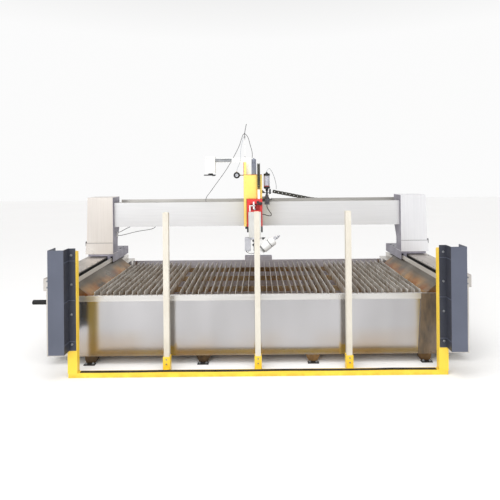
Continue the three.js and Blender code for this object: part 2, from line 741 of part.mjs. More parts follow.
// The column is a folded yellow channel, open to the front below its front plate.
function column() {
  const s = COLUMN.sheet;
  const back = CARRIAGE.front - GAP;
  const left = block(
    COLUMN.left, COLUMN.left + s, COLUMN.front, back, COLUMN.bottom, COLUMN.top,
  );
  const right = block(
    COLUMN.right - s, COLUMN.right, COLUMN.front, back, COLUMN.bottom, COLUMN_PLATE.right,
  );
  const rear = block(COLUMN.left, COLUMN.right, back - s, back, COLUMN.bottom, COLUMN_PLATE.top);
  const front = block(
    COLUMN.left, COLUMN.right, COLUMN.front, COLUMN.front + s,
    COLUMN_PLATE.bottom, COLUMN_PLATE.top,
  );
  const shelf = block(
    COLUMN.left + 1, COLUMN.right - 1, COLUMN.front + 1, back - 1,
    COLUMN_PLATE.top - 10, COLUMN_PLATE.top,
  );
  return joined(left, right, rear, front, shelf);
}
addAloft("column", column(), YELLOW);

const motorZ = COLUMN_PLATE.top + GAP;
addAloft(
  "z_motor",
  block(
    Z_MOTOR.left, Z_MOTOR.left + Z_MOTOR.size, Z_MOTOR.y, Z_MOTOR.y + Z_MOTOR.size,
    motorZ, motorZ + Z_MOTOR.height,
  ),
  GREY,
);

// The arm lies on the column's left plate, and a thin mast on it holds up the hoses.
const armBottom = COLUMN.top + GAP;
const armTop = armBottom + ARM.height;
const mastY = ARM.y + ARM.depth / 2;
const mast = [
  [-152, mastY, armTop - 5], [-154, mastY, armTop + 150], [-155, mastY, 2680], [-130, mastY, 2812],
];
const armBar = block(ARM.left, ARM.right, ARM.y, ARM.y + ARM.depth, armBottom, armTop);
const armFoot = block(ARM.footLeft, ARM.right, ARM.y, ARM.y + ARM.depth, motorZ, armBottom + 1);
addAloft("hose_arm", joined(armBar, armFoot, cord(mast, MAST.diameter, 12)), WHITE);

function visionBox() {
  const right = ARM.left - 0.5;
  const left = right - VISION.width;
  const front = mastY - VISION.depth / 2;
  const body = block(left, right, front, front + VISION.depth, VISION.bottom, VISION.top);
  const neck = block(
    left + 40, right - 40, front + 40, front + VISION.depth - 40,
    VISION.bottom - VISION.drop + 1, VISION.bottom + 1,
  );
  const plate = block(
    left - 20, right + 2, front + 10, front + VISION.depth - 10,
    VISION.bottom - VISION.drop, VISION.bottom - VISION.drop + VISION.plate,
  );
  return joined(body, neck, plate);
}
addAloft("vision_box", visionBox(), WHITE);

// Clear abrasive hopper between two caps, with a short outlet.
function hopper() {
  const profile = [
    [0, 0], [HOPPER.cap, 0], [HOPPER.cap, 30], [HOPPER.radius, 30],
    [HOPPER.radius, HOPPER.height - 36], [HOPPER.cap, HOPPER.height - 36],
    [HOPPER.cap, HOPPER.height - 8], [12, HOPPER.height - 8], [12, HOPPER.height], [0, HOPPER.height],
  ].map(([r, z]) => new THREE.Vector2(r, z));
  return new THREE.LatheGeometry(profile, 20)
    .rotateX(Math.PI / 2)
    .translate(HOPPER.x, HOPPER.y, HOPPER.bottom);
}
addAloft("abrasive_hopper", hopper(), CLEAR);

function meteringValve() {
  const x0 = HOPPER.x - VALVE.width / 2;
  const y0 = HOPPER.y - VALVE.depth / 2;
  const top = HOPPER.bottom - GAP;
  const body = block(
    x0, x0 + VALVE.width, y0, y0 + VALVE.depth, VALVE.bottom, VALVE.bottom + VALVE.height,
  );
  const stem = bar(
    [HOPPER.x, HOPPER.y, VALVE.bottom + VALVE.height - 1], [HOPPER.x, HOPPER.y, top], 16, 12,
  );
  const bracket = block(
    COLUMN.right + GAP, HOPPER.x + 60, HOPPER.y - 40, HOPPER.y + 40, top - 58, top - 16,
  );
  return joined(body, stem, bracket);
}
addAloft("metering_valve", meteringValve(), BLACK);

// ---------------------------------------------------------------- energy chains
// The long chain: down from the carriage's arm into the trough, round its bend and back.
function xChain() {
  const high = CHAIN.low + 2 * CHAIN.radius;
  const bend = Array.from({ length: 9 }, (_, i) => {
    const angle = Math.PI / 2 - (i / 8) * Math.PI;
    return [
      CHAIN_BEND_X + CHAIN.radius * Math.cos(angle),
      CHAIN.low + CHAIN.radius + CHAIN.radius * Math.sin(angle),
    ];
  });
  const middle = [
    [CHAIN.start, CHAIN_START_Z], [CHAIN.dip, high + 12], [CHAIN.dip + 150, high],
    ...bend, [0, CHAIN.low],
  ];
  const half = CHAIN.height / 2;
  const above = sheetOutline(middle, half).slice(middle.length).reverse();
  const below = sheetOutline(middle, -half).slice(middle.length);
  const y0 = CHAIN.y - CHAIN.width / 2;
  return alongY([...above, ...below].reverse(), y0, y0 + CHAIN.width);
}
addAloft("x_chain", xChain(), BLACK);

const zChainBack = COLUMN.front - 4;
addAloft(
  "z_chain",
  block(
    Z_CHAIN.left, Z_CHAIN.left + Z_CHAIN.width, zChainBack - Z_CHAIN.depth, zChainBack,
    Z_CHAIN.bottom, Z_CHAIN.top,
  ),
  BLACK,
);

// ---------------------------------------------------------------- vertical slide
const slideBack = COLUMN.front - 6;
const ramRight = RAM.left + RAM.width;
const ramFront = slideBack - RAM.depth;
const axisX = RAM.left + RAM.width / 2;
const axisY = (ramFront + slideBack) / 2;
addAloft(
  "ram",
  block(RAM.left, ramRight, ramFront, slideBack, RAM.bottom, RAM.top),
  GREY,
);

function slideFrame() {
  const left = RAM.left - FRAME.side;
  const right = ramRight + FRAME.side;
  const front = slideBack - FRAME.depth;
  const plate = block(left, right, front, slideBack, FRAME.bottom, FRAME.top);
  const ramWay = block(
    RAM.left - FRAME.fit, ramRight + FRAME.fit, front - 1, slideBack + 1,
    FRAME.bottom - 1, RAM.top + FRAME.fit,
  );
  const window = block(
    RAM.left + 25, ramRight - 15, front - 1, slideBack - 20, RAM.top + 20, FRAME.top - 60,
  );
  const hanger = block(
    Z_CHAIN.left + 5, Z_CHAIN.left + Z_CHAIN.width - 5, front + 20, zChainBack - 4,
    FRAME.top - 1, Z_CHAIN.bottom - GAP,
  );
  return joined(cut(plate, ramWay, window), hanger);
}
addAloft("slide_frame", slideFrame(), RED);

// ---------------------------------------------------------------- five-axis head
const slope = THREE.MathUtils.degToRad(TIP.tilt);
// A point at a distance along the tilt axis from the nozzle tip, and above it square to the axis.
const onTilt = (along, above = 0) => [
  axisX + along * Math.cos(slope) - above * Math.sin(slope),
  TIP.z + along * Math.sin(slope) + above * Math.cos(slope),
];
const onTilt3 = (along) => {
  const [x, z] = onTilt(along);
  return [x, axisY, z];
};
const flangeTop = RAM.bottom - GAP;
const flangeLow = flangeTop - FLANGE.height;

function swivelArm() {
  const boxLeft = axisX - HEAD_BOX.offset;
  const half = HEAD_BOX.depth / 2;
  const flange = bar([axisX, axisY, flangeLow], [axisX, axisY, flangeTop], FLANGE.radius, 24);
  const bridge = block(boxLeft, axisX, axisY - 30, axisY + 30, flangeLow, flangeTop - 2);
  const box = block(
    boxLeft, boxLeft + HEAD_BOX.width, axisY - half, axisY + half,
    HEAD_BOX.bottom, flangeTop - 2,
  );
  const arm = alongY(
    [
      [axisX - 40, flangeLow + 4], [axisX - 30, flangeLow - 14], [axisX + 48, flangeLow - 24],
      onTilt(TILT_MOTOR.start + 35), onTilt(TILT_MOTOR.start + 110),
      [axisX + 130, flangeLow + 8],
    ],
    axisY - 30, axisY + 30,
  );
  const motorEnd = TILT_MOTOR.start + TILT_MOTOR.length;
  const motor = bar(onTilt3(TILT_MOTOR.start), onTilt3(motorEnd), TILT_MOTOR.radius, 24);
  const plug = bar(onTilt3(motorEnd - 5), onTilt3(motorEnd + 95), TILT_MOTOR.plug, 12);
  return joined(flange, bridge, box, arm, motor, plug);
}
addAloft("swivel_arm", swivelArm(), WHITE);

function cuttingHead() {
  const back = TILT_MOTOR.start - 1;
  const holder = alongY(
    [
      onTilt(back - HOLDER.thick, HOLDER.low), onTilt(back, HOLDER.low),
      onTilt(back, HOLDER.high), onTilt(back - HOLDER.thick, HOLDER.high),
    ],
    axisY - HOLDER.width / 2, axisY + HOLDER.width / 2,
  );
  const at = (height) => [axisX, axisY, TIP.z + height];
  const body = bar(at(CUT_VALVE.bottom), at(CUT_VALVE.top), CUT_VALVE.radius, 16);
  const nozzle = bar(at(0), at(CUT_VALVE.bottom + 1), CUT_VALVE.tip, 16, CUT_VALVE.radius);
  return joined(holder, body, nozzle);
}
addAloft("cutting_head", cuttingHead(), GREY);

// ---------------------------------------------------------------- side handle
// A turning handle on the outside of the left beam: a collar against the beam and a thick grip.
const handleZ = sideTop - HANDLE.drop;
const gripX = sideOuter + GAP + HANDLE.collarLength;
const handle = joined(
  bar([gripX, HANDLE.y, handleZ], [gripX + HANDLE.length, HANDLE.y, handleZ], HANDLE.radius, 16),
  bar([sideOuter + GAP, HANDLE.y, handleZ], [gripX + 1, HANDLE.y, handleZ], HANDLE.collar, 12),
);
add("side_handle", mirrored(handle), BLACK);

// ---------------------------------------------------------------- hoses and cables
// Air line: from the beam over the mast to the motor's back.
const AIR_LINE = [
  [-742, 1700, beamTop + GAP], [-742, 1700, 1770], [-640, 1560, 1905], [-400, 1400, 2220],
  [-240, 1335, 2500], [-162, mastY - 12, 2678], [-118, mastY - 10, 2640], [-80, 1286, 2520],
  [-55, 1290, 2420], [-55, 1290, motorZ + Z_MOTOR.height + GAP],
];
addAloft("air_line", cord(AIR_LINE, 7, 32), BLACK);

// Pressure gauge on its stem, with the thin line that goes up in front of the arm to the mast.
const GAUGE_LINE = [
  [-265, 1219, 2150], [-258, 1232, 2200], [-225, 1252, 2280], [-216, 1258, 2350],
  [-207, 1266, 2480], [-172, mastY - 12, 2636],
];
const stemY = GAUGE.y + GAUGE.depth - 10;
const gaugeBody = bar(
  [GAUGE.x, GAUGE.y, GAUGE.z], [GAUGE.x, GAUGE.y + GAUGE.depth, GAUGE.z], GAUGE.radius, 20,
);
const gaugeStem = bar(
  [GAUGE.x + GAUGE.radius - 5, stemY, GAUGE.z], [COLUMN.left - GAP, stemY, GAUGE.z], GAUGE.stem, 8,
);
addAloft("pressure_gauge", joined(gaugeBody, gaugeStem, cord(GAUGE_LINE, 6, 16)), BLACK);

// Return line: from the hopper's cap over to the chain.
const RETURN_LINE = [
  [140, 1250, 2132.5], [140, 1250, 2160], [172, 1330, 2200], [235, 1560, 2130],
  [285, 1800, 2000], [300, 1950, 1935], [302, 1990, 1890],
];
addAloft("return_line", cord(RETURN_LINE, 7, 24), CLEAR);

// Abrasive hose: from the metering valve down, out and back to the ram.
const frameRight = RAM.left + RAM.width + FRAME.side;
const ABRASIVE_HOSE = [
  [140, 1250, 1709.5], [140, 1250, 1680], [172, 1225, 1620], [frameRight + 121, 1200, 1585],
  [frameRight + 111, 1175, 1566], [frameRight + 65, 1160, 1572], [frameRight + 25, 1154, 1586],
  [frameRight + 0.5, 1154, 1588],
];
addAloft("abrasive_hose", cord(ABRASIVE_HOSE, 11, 20), BLACK);

// Head hose: from under the head's box to the nozzle.
const HEAD_HOSE = [
  [-140, axisY, 1106.5], [-140, axisY, 1092], [-110, axisY - 6, 1074],
  [-80, axisY - 6, 1068], [-44, axisY, 1070],
];
addAloft("head_hose", cord(HEAD_HOSE, 6, 12), BLACK);

// Two sensor cables from one gland on the left leg to the underside of the beam.
const glandX = -legInner + GAP;
const gland = block(glandX, glandX + 12, 1630, 1660, 1235, 1310);
const fromGland = (points) => points.map(([x, y, z]) => [glandX + x, y, z]);
const upperCable = fromGland([
  [10, 1645, 1295], [47, 1650, 1305], [132, 1680, 1350], [194, 1712, 1384],
  [194, 1712, BEAM.bottom - GAP],
]);
const lowerCable = fromGland([
  [10, 1645, 1250], [52, 1648, 1252], [272, 1690, 1300], [512, 1730, 1342],
  [548, 1735, 1380], [548, 1735, BEAM.bottom - GAP],
]);
addAloft("leg_cables", joined(gland, cord(upperCable, 8, 16), cord(lowerCable, 8, 20)), BLACK);

export default object;
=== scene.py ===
"""The looks of a gantry waterjet machine for stone slabs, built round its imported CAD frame.

X runs along the toe bar, Y from the toe bar towards the machine and Z up, in metres.
"""

import math

import bmesh
import bpy
import numpy as np
from mathutils import Matrix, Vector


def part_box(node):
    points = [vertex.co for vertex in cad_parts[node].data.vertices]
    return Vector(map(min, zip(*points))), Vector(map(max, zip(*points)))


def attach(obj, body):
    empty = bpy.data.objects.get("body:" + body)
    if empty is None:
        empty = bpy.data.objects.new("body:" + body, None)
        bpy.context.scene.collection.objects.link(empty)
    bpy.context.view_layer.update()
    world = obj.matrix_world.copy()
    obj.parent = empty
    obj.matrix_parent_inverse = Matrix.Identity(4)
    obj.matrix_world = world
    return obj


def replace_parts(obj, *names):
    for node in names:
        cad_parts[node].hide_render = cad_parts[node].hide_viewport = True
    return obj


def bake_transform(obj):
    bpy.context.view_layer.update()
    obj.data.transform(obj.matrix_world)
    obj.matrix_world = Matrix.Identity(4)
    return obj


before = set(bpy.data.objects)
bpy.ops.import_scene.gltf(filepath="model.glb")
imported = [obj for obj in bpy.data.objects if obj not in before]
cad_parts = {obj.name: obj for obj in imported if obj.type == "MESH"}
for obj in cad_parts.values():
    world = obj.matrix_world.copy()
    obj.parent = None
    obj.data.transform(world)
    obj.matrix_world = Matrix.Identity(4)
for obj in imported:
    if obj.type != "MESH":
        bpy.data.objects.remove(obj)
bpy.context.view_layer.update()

# Camera: a level wide-angle view from in front of the toe bar, a little over head height, looking
# along +Y. The lens is shifted down, so that uprights stay upright.
CAMERA_AT = (0.0, -4.45, 2.14)
CAMERA_ROLL = -0.0095
camera_data = bpy.data.cameras.new("camera")
camera_data.lens, camera_data.sensor_width = 30.24, 36.0
camera_data.shift_x, camera_data.shift_y = -0.0128, -0.154
camera_data.clip_end = 100
camera = bpy.data.objects.new("camera", camera_data)
bpy.context.collection.objects.link(camera)
camera.matrix_world = (
    Matrix.Translation(CAMERA_AT)
    @ Matrix.Rotation(math.pi / 2, 4, "X")
    @ Matrix.Rotation(CAMERA_ROLL, 4, "Z")
)
bpy.context.scene.camera = camera

# Air and control lines of the cutting head: thin black and clear plastic hoses with springy bows,
# each pushed into a fitting at both ends. A white gland on the left leg lets two cables out.
AIR_LINE = [
    (-742, 1700, 1713.3), (-742, 1700, 1770), (-640, 1560, 1905), (-400, 1400, 2220),
    (-240, 1335, 2500), (-162, 1278, 2678), (-118, 1280, 2640), (-80, 1286, 2520),
    (-55, 1290, 2420), (-55, 1290, 2345.6),
]
GAUGE_LINE = [
    (-265, 1219, 2150), (-258, 1232, 2200), (-225, 1252, 2280), (-216, 1258, 2350),
    (-207, 1266, 2480), (-172, 1278, 2636),
]
RETURN_LINE = [
    (140, 1250, 2132.5), (140, 1250, 2160), (172, 1330, 2200), (235, 1560, 2130),
    (285, 1800, 2000), (300, 1950, 1935), (302, 1990, 1890),
]
ABRASIVE_HOSE = [
    (140, 1250, 1709.5), (140, 1250, 1680), (172, 1225, 1620), (196, 1200, 1585),
    (186, 1175, 1566), (140, 1160, 1572), (100, 1154, 1586), (75.5, 1154, 1588),
]
HEAD_HOSE = [
    (-140, 1145.5, 1106.5), (-140, 1145.5, 1092), (-110, 1139.5, 1074), (-80, 1139.5, 1068),
    (-44, 1145.5, 1070),
]
UPPER_CABLE = [
    (-2021.7, 1645, 1295), (-1985, 1650, 1305), (-1900, 1680, 1350), (-1838, 1712, 1384),
    (-1838, 1712, 1410.7),
]
LOWER_CABLE = [
    (-2021.7, 1645, 1250), (-1980, 1648, 1252), (-1760, 1690, 1300), (-1520, 1730, 1342),
    (-1484, 1735, 1380), (-1484, 1735, 1410.7),
]


def route(marks, steps=8):
    """The smooth line through marks given in millimetres, in metres.

    Each stretch is a cubic; its end slopes come from the neighbouring marks, timed by the square
    root of the distance between them.
    """
    p = np.array(marks, float) / 1000
    p = np.vstack([2 * p[0] - p[1], p, 2 * p[-1] - p[-2]])
    gap = np.sqrt(np.linalg.norm(np.diff(p, axis=0), axis=1))[:, None]
    before, here, after = gap[:-2], gap[1:-1], gap[2:]
    a, b, c, d = p[:-3], p[1:-2], p[2:-1], p[3:]
    leave = ((b - a) / before - (c - a) / (before + here) + (c - b) / here) * here
    arrive = ((c - b) / here - (d - b) / (here + after) + (d - c) / after) * here
    t = np.linspace(0, 1, steps, endpoint=False)[:, None, None]
    start, end = 2 * t**3 - 3 * t**2 + 1, 3 * t**2 - 2 * t**3
    line = start * b + (t**3 - 2 * t**2 + t) * leave + end * c + (t**3 - t**2) * arrive
    return np.vstack([line.transpose(1, 0, 2).reshape(-1, 3), p[-2]])


def closed(rings):
    """A stack of rings of points made a shape: a face between each two neighbours, and one at each end."""
    rows, columns = rings.shape[:2]
    here = np.arange(rows * columns).reshape(rows, columns)
    over = np.roll(here, -1, axis=1)
    around = np.stack([here[:-1], over[:-1], over[1:], here[1:]], axis=-1).reshape(-1, 4)
    return rings.reshape(-1, 3), [*around.tolist(), here[0, ::-1].tolist(), here[-1].tolist()]


def hose(line, radius, sides=10):
    """A circle of that radius carried along a line of points, square to it, with closed ends."""
    along = np.gradient(line, axis=0)
    along /= np.linalg.norm(along, axis=1)[:, None]
    side = [np.cross(along[0], [0.31, 0.53, 0.79])]
    for way in along[1:]:
        side.append(side[-1] - way * side[-1].dot(way))
    side = np.array(side)
    side /= np.linalg.norm(side, axis=1)[:, None]
    up = np.cross(along, side)
    turn = np.linspace(0, 2 * math.pi, sides, endpoint=False)[None, :, None]
    return closed(line[:, None] + radius * (np.cos(turn) * side[:, None] + np.sin(turn) * up[:, None]))


def colour_of(code):
    """The linear colour of an sRGB code such as #e3bb2d."""
    share = np.array([int(code[i : i + 2], 16) for i in (1, 3, 5)]) / 255
    linear = np.where(share > 0.04045, ((share + 0.055) / 1.055) ** 2.4, share / 12.92)
    return (*linear, 1.0)


def wired(tree, kind, inputs, **settings):
    """The outputs of a new shader node, whose inputs each take a value or another node's output."""
    node = tree.nodes.new("ShaderNode" + kind)
    for name, value in settings.items():
        setattr(node, name, value)
    for socket, value in inputs.items():
        if isinstance(value, bpy.types.NodeSocket):
            tree.links.new(value, node.inputs[socket])
        else:
            node.inputs[socket].default_value = value
    return node.outputs


def finish(name, colour, shade, rough, metal=0.0, grain=60, depth=0.0, cloud=1.5, spread=1.0):
    """A finish whose colour drifts from colour to shade, in clouds and along a fine grain.

    grain is the fine noise's repeats a metre, one number or three for X, Y and Z, and depth its
    height in metres; cloud is the wide noise's repeats a metre. The colours meet over 0.32 times
    spread of the noise's range, and roughness follows the clouds by a quarter each way.
    """
    made = bpy.data.materials.new(name)
    made.use_nodes = True
    tree = made.node_tree
    skin = tree.nodes["Principled BSDF"].inputs
    skin["Metallic"].default_value = metal
    place = wired(tree, "TexCoord", {})["Object"]
    repeats = np.broadcast_to(grain, 3).astype(float)
    stretched = wired(tree, "Mapping", {"Vector": place, "Scale": repeats})["Vector"]
    fine = wired(tree, "TexNoise", {"Vector": stretched, "Scale": 1.0, "Detail": 3.0})["Fac"]
    wide = wired(tree, "TexNoise", {"Vector": place, "Scale": cloud, "Detail": 4.0})["Fac"]
    half = wired(tree, "Math", {0: wide, 1: 0.5}, operation="MULTIPLY")[0]
    both = wired(tree, "Math", {0: fine, 1: 0.5, 2: half}, operation="MULTIPLY_ADD")[0]
    ramp = wired(tree, "ValToRGB", {"Fac": both})["Color"]
    for end, way, tint in zip(ramp.node.color_ramp.elements, (-1, 1), (colour, shade)):
        end.position, end.color = 0.5 + 0.16 * spread * way, colour_of(tint)
    range_of = {
        "Value": wide, "From Min": 0.3, "From Max": 0.7, "To Min": 0.75 * rough, "To Max": 1.25 * rough,
    }
    tree.links.new(ramp, skin["Base Color"])
    tree.links.new(wired(tree, "MapRange", range_of)["Result"], skin["Roughness"])
    if depth:
        bump = wired(tree, "Bump", {"Height": fine, "Distance": depth})["Normal"]
        tree.links.new(bump, skin["Normal"])
    return made


def fitted(name, shape, skin, body=None, edge=0.0):
    """One finished piece made from a shape, its points and faces.

    Its sharp edges are rounded by edge metres and it rides on body.
    """
    mesh = bpy.data.meshes.new(name)
    mesh.from_pydata(shape[0].tolist(), [], shape[1])
    work = bmesh.new()
    work.from_mesh(mesh)
    bmesh.ops.recalc_face_normals(work, faces=work.faces)
    work.to_mesh(mesh)
    work.free()
    mesh.shade_smooth()
    mesh.set_sharp_from_angle(angle=math.radians(38))
    mesh.materials.append(skin)
    piece = bpy.data.objects.new(name, mesh)
    bpy.context.collection.objects.link(piece)
    if edge:
        rounding = piece.modifiers.new("rounding", "BEVEL")
        rounding.width, rounding.segments = edge, 2
        rounding.limit_method, rounding.angle_limit = "ANGLE", math.radians(38)
    if body:
        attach(piece, body)
    return piece


black_hose = finish("black_hose", "#2b2b2e", "#1c1c1f", 0.42, grain=400, depth=0.0002)
clear_hose = finish("clear_hose", "#b9bfc4", "#8f979e", 0.25, grain=90, cloud=4)
HOSES = {
    # name: route, diameter, finish, slot, CAD node, bodies, where the bend between them lies
    "air_tube": (AIR_LINE, 7, black_hose, "hose_rubber", "air_line", ("gantry", "carriage"),
                 ((-0.72, 1.66, 1.79), (-0.30, 1.36, 2.38))),
    "return_tube": (RETURN_LINE, 7, clear_hose, "clear_plastic", "return_line", ("carriage",), None),
    "abrasive_tube": (ABRASIVE_HOSE, 11, black_hose, "hose_rubber", "abrasive_hose",
                      ("carriage", "z_slide"), ((0.15, 1.243, 1.665), (0.11, 1.156, 1.58))),
    "head_tube": (HEAD_HOSE, 6, black_hose, "hose_rubber", "head_hose", ("swivel", "tilt"),
                  ((-0.130, 1.143, 1.085), (-0.060, 1.143, 1.069))),
    "upper_leg_cable": (UPPER_CABLE, 8, black_hose, "hose_rubber", "leg_cables", ("gantry",), None),
    "lower_leg_cable": (LOWER_CABLE, 8, black_hose, "hose_rubber", "leg_cables", ("gantry",), None),
    "gauge_tube": (GAUGE_LINE, 6, clear_hose, "clear_plastic", "pressure_gauge", ("carriage",), None),
}
for name, (marks, diameter, skin, slot, node, bodies, bend) in HOSES.items():
    line = route(marks)
    piece = fitted(name, hose(line, diameter / 2000), skin, bodies[0] if not bend else None)
    if bend:
        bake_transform(piece)
    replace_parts(piece, node)
    length = np.linalg.norm(np.diff(line, axis=0), axis=1).sum()

# Floor and light: a pale seamless floor under a wide soft sun, helped by an overhead and a front
# panel. The surround is white at eye level and greyer above, for the stainless steel to reflect.
FLOOR_HALF = 30.0
floor_mesh = bpy.data.meshes.new("floor")
floor_mesh.from_pydata(
    [(x * FLOOR_HALF, y * FLOOR_HALF, -0.001) for x, y in ((-1, -1), (1, -1), (1, 1), (-1, 1))],
    [], [(0, 1, 2, 3)],
)
floor_mesh.materials.append(finish("pale_floor", "#fbfbfb", "#f8f8f8", 0.8, cloud=0.4))
floor = bpy.data.objects.new("floor", floor_mesh)
bpy.context.collection.objects.link(floor)
SUN_STRENGTH, SUN_SPREAD, SUN_TILT = 1.45, 70, (34, -12, 0)  # watts a square metre, degrees
PANELS = {
    # name: place, aim, width, power in watts
    "overhead_panel": ((0, -1.5, 6.5), (0, 1.2, 0.8), 3.0, 110),
    "front_panel": ((-3.5, -5.5, 3.4), (0, 1.0, 1.0), 3.0, 70),
}
sun_data = bpy.data.lights.new("soft_sun", "SUN")
sun_data.energy, sun_data.angle = SUN_STRENGTH, math.radians(SUN_SPREAD)
sun = bpy.data.objects.new("soft_sun", sun_data)
sun.rotation_euler = np.radians(SUN_TILT)
bpy.context.collection.objects.link(sun)
for name, (at, aim, width, power) in PANELS.items():
    panel = bpy.data.lights.new(name, "AREA")
    panel.shape, panel.size, panel.energy = "SQUARE", width, power
    light = bpy.data.objects.new(name, panel)
    light.location = at
    way = Matrix.Translation(aim).translation - Matrix.Translation(at).translation
    light.rotation_euler = way.to_track_quat("-Z", "Y").to_euler()
    bpy.context.collection.objects.link(light)
surround = bpy.data.worlds.new("surround")
surround.use_nodes = True
sky = surround.node_tree
height = wired(sky, "SeparateXYZ", {0: wired(sky, "TexCoord", {})["Generated"]})["Z"]
fade = wired(sky, "ValToRGB", {"Fac": height})["Color"]
level, zenith = fade.node.color_ramp.elements
level.position, level.color = 0.3, (1.0, 1.0, 1.0, 1.0)
zenith.position, zenith.color = 0.85, (0.42, 0.41, 0.40, 1.0)
background = sky.nodes["Background"].inputs
sky.links.new(fade, background["Color"])
background["Strength"].default_value = 0.97
bpy.context.scene.world = surround
bpy.context.scene.view_settings.view_transform = "Standard"

# Toe bar: a long rectangular steel tube on the floor, enamelled yellow, with a welded socket for
# each rest post. A rubber strip lies on its top, worn and lifted here and there.
UP, FRONT = (0, 0, 1), (0, -1, 0)
STRIP_HALF, STRIP_WIDTH, STRIP_THICK = 1.88, 0.034, 0.006


def dress(skin, *nodes):
    """Gives CAD pieces this finish."""
    for node in nodes:
        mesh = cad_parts[node].data
        mesh.materials.clear()
        mesh.materials.append(skin)


def stain_and_painted_reflection_tint(made, colour, fades_at, thickest_at, patch, most=0.85):
    """Adds a tint to a finish, used both for real stains and for painted reflections: it grows from the first
    given height to the second, in metres, and is broken up by a noise of patch repeats a metre; most is its
    share where it is thickest."""
    tree = made.node_tree
    skin = tree.nodes["Principled BSDF"].inputs["Base Color"]
    place = tree.nodes["Texture Coordinate"].outputs["Object"]
    height = wired(tree, "SeparateXYZ", {0: place})["Z"]
    stretch = {"Value": height, "From Min": fades_at, "From Max": thickest_at, "To Max": most}
    grown = wired(tree, "MapRange", stretch)["Result"]
    noise = wired(tree, "TexNoise", {"Vector": place, "Scale": patch, "Detail": 6.0})["Fac"]
    patches = wired(tree, "MapRange", {"Value": noise, "From Min": 0.38, "From Max": 0.62})["Result"]
    share = wired(tree, "Math", {0: grown, 1: patches}, operation="MULTIPLY")[0]
    layers = {"Factor": share, "A": skin.links[0].from_socket, "B": colour_of(colour)}
    tree.links.new(wired(tree, "Mix", layers, data_type="RGBA")["Result"], skin)
    return made


def swept(outline, axis, start, end):
    """A flat outline, given in the two other axes in the order X, Y, Z, carried along axis 0, 1 or 2."""
    rings = np.empty((2, len(outline), 3))
    rings[..., [k for k in range(3) if k != axis]] = np.array(outline, float)
    rings[0, :, axis], rings[1, :, axis] = start, end
    return closed(rings)


def bar_stock(low, high):
    """A square-edged bar between two opposite corners."""
    (x0, y0, z0), (x1, y1, z1) = low, high
    return swept([(x0, y0), (x1, y0), (x1, y1), (x0, y1)], 2, z0, z1)


def turned(profile, at, way=UP, sides=24):
    """A lathe-turned shape: rings at (distance, radius) along way from at, closed at both ends."""
    way = np.array(way, float) / np.linalg.norm(way)
    side = np.cross(way, [0.31, 0.53, 0.79])
    side /= np.linalg.norm(side)
    distance, radius = np.array(profile, float).T[:, :, None, None]
    turn = np.linspace(0, 2 * math.pi, sides, endpoint=False)[None, :, None]
    round_it = np.cos(turn) * side + np.sin(turn) * np.cross(way, side)
    return closed(np.array(at, float) + distance * way + radius * round_it)


def together(*shapes):
    """Several shapes as one."""
    starts = np.cumsum([0, *(len(points) for points, _ in shapes)])
    faces = [[v + s for v in face] for (_, fs), s in zip(shapes, starts) for face in fs]
    return np.vstack([points for points, _ in shapes]), faces


def bars(*corners):
    """Square-edged bars between pairs of opposite corners, as one."""
    return together(*(bar_stock(low, high) for low, high in corners))


def copies(shape, places):
    """The same shape moved to each of the places."""
    return together(*((shape[0] + np.array(place, float), shape[1]) for place in places))


def bolt(way, size):
    """A hexagon bolt head on its washer, size metres across the washer, pointing along way."""
    washer = turned([(0, size / 2), (0.12 * size, size / 2)], (0, 0, 0), way, 14)
    head = turned(
        [(0.12 * size, 0.4 * size), (0.42 * size, 0.4 * size), (0.48 * size, 0.34 * size)],
        (0, 0, 0), way, 6,
    )
    return together(washer, head)


def bolted(name, way, size, places, body):
    """A set of steel bolts of one size whose heads point along way."""
    fitted(name, copies(bolt(way, size), places), steel_bolts, body)


yellow = stain_and_painted_reflection_tint(
    finish("yellow_enamel", "#fbd74a", "#f2c832", 0.38, grain=220, depth=0.0001, cloud=3),
    "#8a6a1c", 0.05, -0.01, 9, 0.5,
)
dress(yellow, "toe_bar")
low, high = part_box("toe_bar")
strip_rubber = finish("strip_rubber", "#3a3128", "#14110e", 0.8, grain=60, depth=0.001, cloud=6)
along = np.linspace(-STRIP_HALF, STRIP_HALF, 160)
lift = 0.0025 * np.maximum(0, np.sin(3.1 * along + 0.6) * np.sin(7.7 * along)) * np.abs(np.sin(1.3 * along))
wander = 0.003 * np.sin(5.3 * along)
corner = np.array([(-1, 0), (1, 0), (1, 1), (-1, 1)])
strip = np.empty((len(along), 4, 3))
strip[..., 0] = along[:, None]
strip[..., 1] = wander[:, None] - 0.006 + corner[:, 0] * STRIP_WIDTH / 2
strip[..., 2] = 0.0503 + lift[:, None] + corner[:, 1] * STRIP_THICK
fitted("toe_strip", closed(strip), strip_rubber, "base")
steel_bolts = finish("steel_bolts", "#b9bcbf", "#7d7f82", 0.35, 1.0, grain=300, cloud=20)
set_screws = [(x, 0.0817, z) for x in (-0.99, 0, 0.99) for z in (0.085, 0.135)]
bolted("socket_screws", FRONT, 0.016, set_screws, "base")

# Rest posts: three square aluminium tubes painted cream, which a slab leans on while it waits.
# Each drops into a socket of the toe bar and has a moulded plug in its top.


def moulded_cap(node, plate, rise, inner):
    """A cap on a tube's top: a plate that thick, and a smaller one on it, up to rise and inner
    metres in from the tube's sides."""
    (x0, y0, _), (x1, y1, top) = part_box(node)
    return bars(*(
        ((x0 + inset, y0 + inset, top + base), (x1 - inset, y1 - inset, top + lid))
        for inset, base, lid in ((0.002, 0.0002, plate), (inner, plate - 0.0005, rise))
    ))


